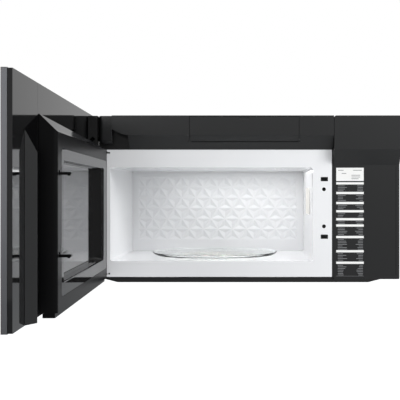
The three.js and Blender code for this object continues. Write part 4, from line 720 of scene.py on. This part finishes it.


# ---------------------------------------------------------------- small trims and painted shade on the front

# Boxes in millimetres: their reach in x, y and z. The skirt is drawn on the closed door.
CAP_SKIRT = ((-377.4, -371.0), (-405.8, -395.9), (96.0, 151.5))
GAP_TAPE = ((-379.95, -379.5), (-381.5, -362.0), (100.0, 205.0))
GAP_LIP = ((-383.6, -379.5), (-365.5, -364.5), (100.0, 205.0))
# A black plate over the white frame's corner under the end block's foot: painted shade.
FOOT_PAINTED_SHADE = ((-378.9, -364.0), (-374.5, -374.1), (123.6, 148.0))
FRONT_MARK_Y = (-374.1, -373.9)
# Black marks on the frame where the hinges pass through: painted shade of the slots.
UPPER_SLOT = ((-364.0, -353.8), FRONT_MARK_Y, (112.4, 116.2))
LOWER_SLOT = ((-358.2, -354.0), FRONT_MARK_Y, (-194.0, -190.0))
# A black strip along the fascia's groove: painted shade in the groove.
GROOVE = ((370.4, 371.2), FRONT_MARK_Y, (-196.0, 80.0))


def trims():
    """What shuts off the light at the hinge, and painted shade over the frame's corner under the
    end block's foot, in the hinge slots and in a groove on the fascia.
    """
    extra(swung(slabs("hinge_cap_skirt", [CAP_SKIRT], GLOSS)), "door")
    extra(slabs("hinge_gap_tape", [GAP_TAPE, GAP_LIP], FELT_AND_SHADE), "cabinet")
    extra(slabs("hinge_foot_painted_shade", [FOOT_PAINTED_SHADE], BLACK_PAINT_AND_SHADE), "cabinet")
    extra(slabs("hinge_slot_painted_shade", [UPPER_SLOT, LOWER_SLOT], FELT_AND_SHADE), "cabinet")
    extra(slabs("fascia_groove_painted_shade", [GROOVE], FELT_AND_SHADE), "cabinet")


trims()


# ---------------------------------------------------------------- the cooking guide on the fascia

SHEET_X = (219.4, 289.1)
SHEET_Z = (-198.0, 76.4)
SHEET_FACE_Y = -374.3                 # printed straight on the recessed face, proud by the ink
SHEET_INK = 0.4
SHEET_EDGE = 0.4                      # the line along the sheet's lower edge
TITLE_Z = (42.9, 76.4)
TITLE_MARKS = [((224.0, 238.0), 70.0), ((262.0, 284.0), 70.0), ((233.0, 245.0), 62.0),
               ((258.0, 280.0), 57.5), ((258.0, 280.0), 53.0), ((258.0, 276.0), 48.5)]
TITLE_MARK_Y = (SHEET_FACE_Y - 0.05, SHEET_FACE_Y + 0.2)
TITLE_MARK_HALF = 0.8
HEADER_TOPS = (39.8, 15.3, -10.1, -30.9, -51.2, -67.1, -96.3, -132.3, -161.5)
HEADER_HEIGHT = 5.8
ROW_PITCH = 4.1
ROW_HEIGHT = 1.1
FIRST_ROW_DROP = 0.7                  # pitches from a header down to its first row
LAST_ROW_CLEAR = 0.3                  # pitches kept free above the next header
ROW_MARGINS = (4, 2)                  # left and right of the two columns
LEFT_LENGTHS = (12, 24)
RIGHT_LENGTHS = (8, 20)


def cooking_guide():
    """Plain bars where a cooking guide is printed: a title, headers, and rows in two columns."""
    lengths = random.Random(11)
    face = (SHEET_FACE_Y, SHEET_FACE_Y + SHEET_INK)
    left, right = SHEET_X[0] + ROW_MARGINS[0], SHEET_X[1] - ROW_MARGINS[1]
    bars = [(SHEET_X, face, TITLE_Z)]
    rows = []
    for top, following in zip(HEADER_TOPS, HEADER_TOPS[1:] + (SHEET_Z[0],)):
        bars.append((SHEET_X, face, (top - HEADER_HEIGHT, top)))
        level = top - HEADER_HEIGHT - ROW_PITCH * FIRST_ROW_DROP
        while level - ROW_HEIGHT > following + ROW_PITCH * LAST_ROW_CLEAR:
            row = (level - ROW_HEIGHT, level)
            rows.append(((left, left + lengths.uniform(*LEFT_LENGTHS)), face, row))
            rows.append(((right - lengths.uniform(*RIGHT_LENGTHS), right), face, row))
            level -= ROW_PITCH
    rows.append((SHEET_X, face, (SHEET_Z[0] - SHEET_EDGE, SHEET_Z[0])))
    extra(slabs("guide_headers", bars, WHITE_INK), "cabinet")
    extra(slabs("guide_rows", rows, GREY_INK), "cabinet")
    marks = [(x, TITLE_MARK_Y, grown((z, z), TITLE_MARK_HALF)) for x, z in TITLE_MARKS]
    extra(slabs("guide_title_marks", marks, GREY_INK), "cabinet")


cooking_guide()


# ---------------------------------------------------------------- marks on the touch panel

DIGIT_HEIGHT = 11.0
KEY_COLUMNS = (262.0, 294.5, 327.0)
KEY_ROWS = (-12.0, -44.0, -76.0, -108.0)
BARS_ABOVE = (78.0, 54.0, 30.0)
BARS_BELOW = (-138.0, -158.0)
BAR_HALF_LENGTH = 9.0
BAR_HALF_HEIGHT = 0.5
CLOCK_PLACE = (294.5, 122.0)
CLOCK_HEIGHT = 20.0
MARK_Y = (-423.95, -423.75)


def written(text, x, z, height):
    """A short plain number as a flat solid on the outer face of the closed door."""
    curve = bpy.data.curves.new("number", "FONT")
    curve.body = text
    curve.size = height * MM
    curve.align_x = "CENTER"
    curve.align_y = "CENTER"
    curve.extrude = (MARK_Y[1] - MARK_Y[0]) / 2 * MM
    curve.resolution_u = 4
    letter = own_mesh("number", curve)
    evaluated = letter.evaluated_get(bpy.context.evaluated_depsgraph_get())
    mesh = bpy.data.meshes.new_from_object(evaluated)
    bpy.data.objects.remove(letter)
    middle = Vector((x, sum(MARK_Y) / 2, z)) * MM
    mesh.transform(Matrix.Translation(middle) @ Matrix.Rotation(math.pi / 2, 4, "X"))
    return mesh


def keypad():
    """Plain numbers and bars printed on the touch glass."""
    work = bmesh.new()
    keys = [(str(3 * row + column + 1), KEY_COLUMNS[column], KEY_ROWS[row])
            for row in range(3) for column in range(3)]
    keys.append(("0", KEY_COLUMNS[1], KEY_ROWS[3]))
    for text, x, z in keys:
        work.from_mesh(written(text, x, z, DIGIT_HEIGHT))
    work.from_mesh(written("12:00", *CLOCK_PLACE, CLOCK_HEIGHT))
    mesh = bpy.data.meshes.new("keypad_numbers")
    work.to_mesh(mesh)
    work.free()
    extra(swung(dress(own_mesh("keypad_numbers", mesh), WHITE_INK)), "door")
    bars = [(grown((x, x), BAR_HALF_LENGTH), MARK_Y, grown((z, z), BAR_HALF_HEIGHT))
            for rows in (BARS_ABOVE, BARS_BELOW) for x in KEY_COLUMNS for z in rows]
    extra(swung(slabs("keypad_bars", bars, GREY_INK)), "door")


keypad()


# ---------------------------------------------------------------- screws

HEAD_RADIUS = 3.6                     # sizes and places in millimetres
HEAD_HEIGHT = 0.9
SLOT_WIDTH = 0.9
CROWN_SHARE = 0.72                    # the crown's radius as a share of the head's
SLOT_SHARE = 1.1                      # a slot's length, likewise
HEAD_SEED = 5                         # of the random turn of each head
UP, REAR = (0, 0, 1), (0, 1, 0)
CASE_TOP_Z = 205.9
REAR_FACE_Y = -0.95                   # sunk, so that no head stands past the rear face
BAND_SCREW_X = (-300.0, -60.0, 120.0, 300.0)
BAND_SCREW_Y = -390.0
TOP_SCREW_X = (-355.0, 355.0)
TOP_SCREW_Y = (-330.0, -190.0, -30.0)
REAR_SCREW_X = (-366.0, -180.0, 180.0, 366.0)
REAR_SCREW_Z = (-196.0, 196.0)


def screw_tree(material):
    """Geometry Nodes: a cross-recessed head on every point, along the point's own direction."""
    tree = bpy.data.node_groups.new("screw_heads", "GeometryNodeTree")
    tree.interface.new_socket("Geometry", in_out="INPUT", socket_type="NodeSocketGeometry")
    labels = ("Head Radius", "Head Height", "Slot Width")
    for label in labels:
        tree.interface.new_socket(label, in_out="INPUT", socket_type="NodeSocketFloat")
    tree.interface.new_socket("Geometry", in_out="OUTPUT", socket_type="NodeSocketGeometry")
    sizes = tree.nodes.new("NodeGroupInput")
    radius, height, width = (sizes.outputs[label] for label in labels)
    crown = add(tree, "ShaderNodeMath", {"operation": "MULTIPLY"}, {0: radius, 1: CROWN_SHARE})
    head = add(tree, "GeometryNodeMeshCone", inputs={
        "Vertices": 20, "Radius Top": crown.outputs[0], "Radius Bottom": radius, "Depth": height})
    arm = add(tree, "ShaderNodeMath", {"operation": "MULTIPLY"}, {0: radius, 1: SLOT_SHARE})
    cuts = []
    for across, along in ((arm.outputs[0], width), (width, arm.outputs[0])):
        size = add(tree, "ShaderNodeCombineXYZ", inputs={"X": across, "Y": along, "Z": height})
        bar = add(tree, "GeometryNodeMeshCube", inputs={"Size": size.outputs[0]})
        lift = add(tree, "ShaderNodeCombineXYZ", inputs={"Z": height})
        cuts.append(add(tree, "GeometryNodeTransform", inputs={
            "Geometry": bar.outputs["Mesh"], "Translation": lift.outputs[0]}))
    recess = add(tree, "GeometryNodeMeshBoolean", {"operation": "DIFFERENCE"}, {
        "Mesh 1": head.outputs["Mesh"]})
    for piece in cuts:
        tree.links.new(piece.outputs[0], recess.inputs["Mesh 2"])
    facing = add(tree, "GeometryNodeInputNamedAttribute", {"data_type": "FLOAT_VECTOR"}, {
        "Name": "facing"})
    turn = add(tree, "FunctionNodeRandomValue", {"data_type": "FLOAT"}, {
        "Max": math.pi, "Seed": HEAD_SEED})
    spun = add(tree, "FunctionNodeAxisAngleToRotation", inputs={"Angle": turn.outputs["Value"]})
    aimed = add(tree, "FunctionNodeAlignRotationToVector", {"axis": "Z"}, {
        "Rotation": spun.outputs[0], "Vector": facing.outputs["Attribute"]})
    set_out = add(tree, "GeometryNodeInstanceOnPoints", inputs={
        "Points": sizes.outputs["Geometry"], "Instance": recess.outputs["Mesh"],
        "Rotation": aimed.outputs[0]})
    real = add(tree, "GeometryNodeRealizeInstances", inputs={"Geometry": set_out.outputs[0]})
    coated = add(tree, "GeometryNodeSetMaterial", inputs={
        "Geometry": real.outputs[0], "Material": material})
    add(tree, "NodeGroupOutput", inputs={"Geometry": coated.outputs[0]})
    return tree


def screws(name, tree, places):
    """Screw heads on the cabinet, at places of (point in mm, direction they face)."""
    mesh = bpy.data.meshes.new(name)
    mesh.from_pydata([[value * MM for value in point] for point, _ in places], [], [])
    facing = mesh.attributes.new("facing", "FLOAT_VECTOR", "POINT")
    for item, (_, direction) in zip(facing.data, places):
        item.vector = direction
    piece = own_mesh(name, mesh)
    setting = piece.modifiers.new("screw_heads", "NODES")
    setting.node_group = tree
    values = {"Head Radius": HEAD_RADIUS * MM, "Head Height": HEAD_HEIGHT * MM,
              "Slot Width": SLOT_WIDTH * MM}
    for socket in tree.interface.items_tree:
        if socket.in_out == "INPUT" and socket.name in values:
            setting[socket.identifier] = values[socket.name]
    settle(piece)
    return extra(piece, "cabinet")


BLACK_SCREWS = screw_tree(BLACK_PAINT_AND_SHADE)
BRIGHT_SCREWS = screw_tree(BRIGHT)
screws("band_top_screws", BLACK_SCREWS,
       [((x, BAND_SCREW_Y, CASE_TOP_Z), UP) for x in BAND_SCREW_X])
screws("case_top_screws", BRIGHT_SCREWS,
       [((x, y, CASE_TOP_Z), UP) for x in TOP_SCREW_X for y in TOP_SCREW_Y])
screws("rear_screws", BRIGHT_SCREWS,
       [((x, REAR_FACE_Y, z), REAR) for x in REAR_SCREW_X for z in REAR_SCREW_Z])


# ---------------------------------------------------------------- nodes that keep their shape

PLAIN = {
    ENAMEL: ["cavity_back"],
    BLACK_PAINT_AND_SHADE: ["base_pan", "upper_front_plate", "lamp_housing"],
    ZINC: ["rear_panel", "choke_frame", "turntable_motor", "blower_housing_left",
           "blower_housing_right", "blower_motor", "exhaust_adapter", "damper_flap", "waveguide",
           "magnetron"],
    BRIGHT: ["blower_shaft", "latch_spring"],
    CLEAR: ["cavity_lamp", "lamp_cover"],
    NYLON: ["turntable_coupler", "roller_ring",
            "roller_wheel_1", "roller_wheel_2", "roller_wheel_3"],
    GREY_NYLON: ["latch_guide", "door_switch_upper", "door_switch_lower", "blower_wheel_left",
                 "blower_wheel_right", "cooling_fan_frame", "cooling_fan"],
    FOAM: ["charcoal_filter"],
    BOARD: ["touch_board", "main_board"],
    MICA: ["waveguide_cover"],
    ALUMINIUM: ["capacitor"],
    FILTER_MESH: ["grease_filter_left", "grease_filter_right"],
    COPPER: ["transformer"],
    SATIN: ["cord_inlet", "latch_board"],
}
for finish, names in PLAIN.items():
    for node_name in names:
        dress(NODES[node_name], finish)
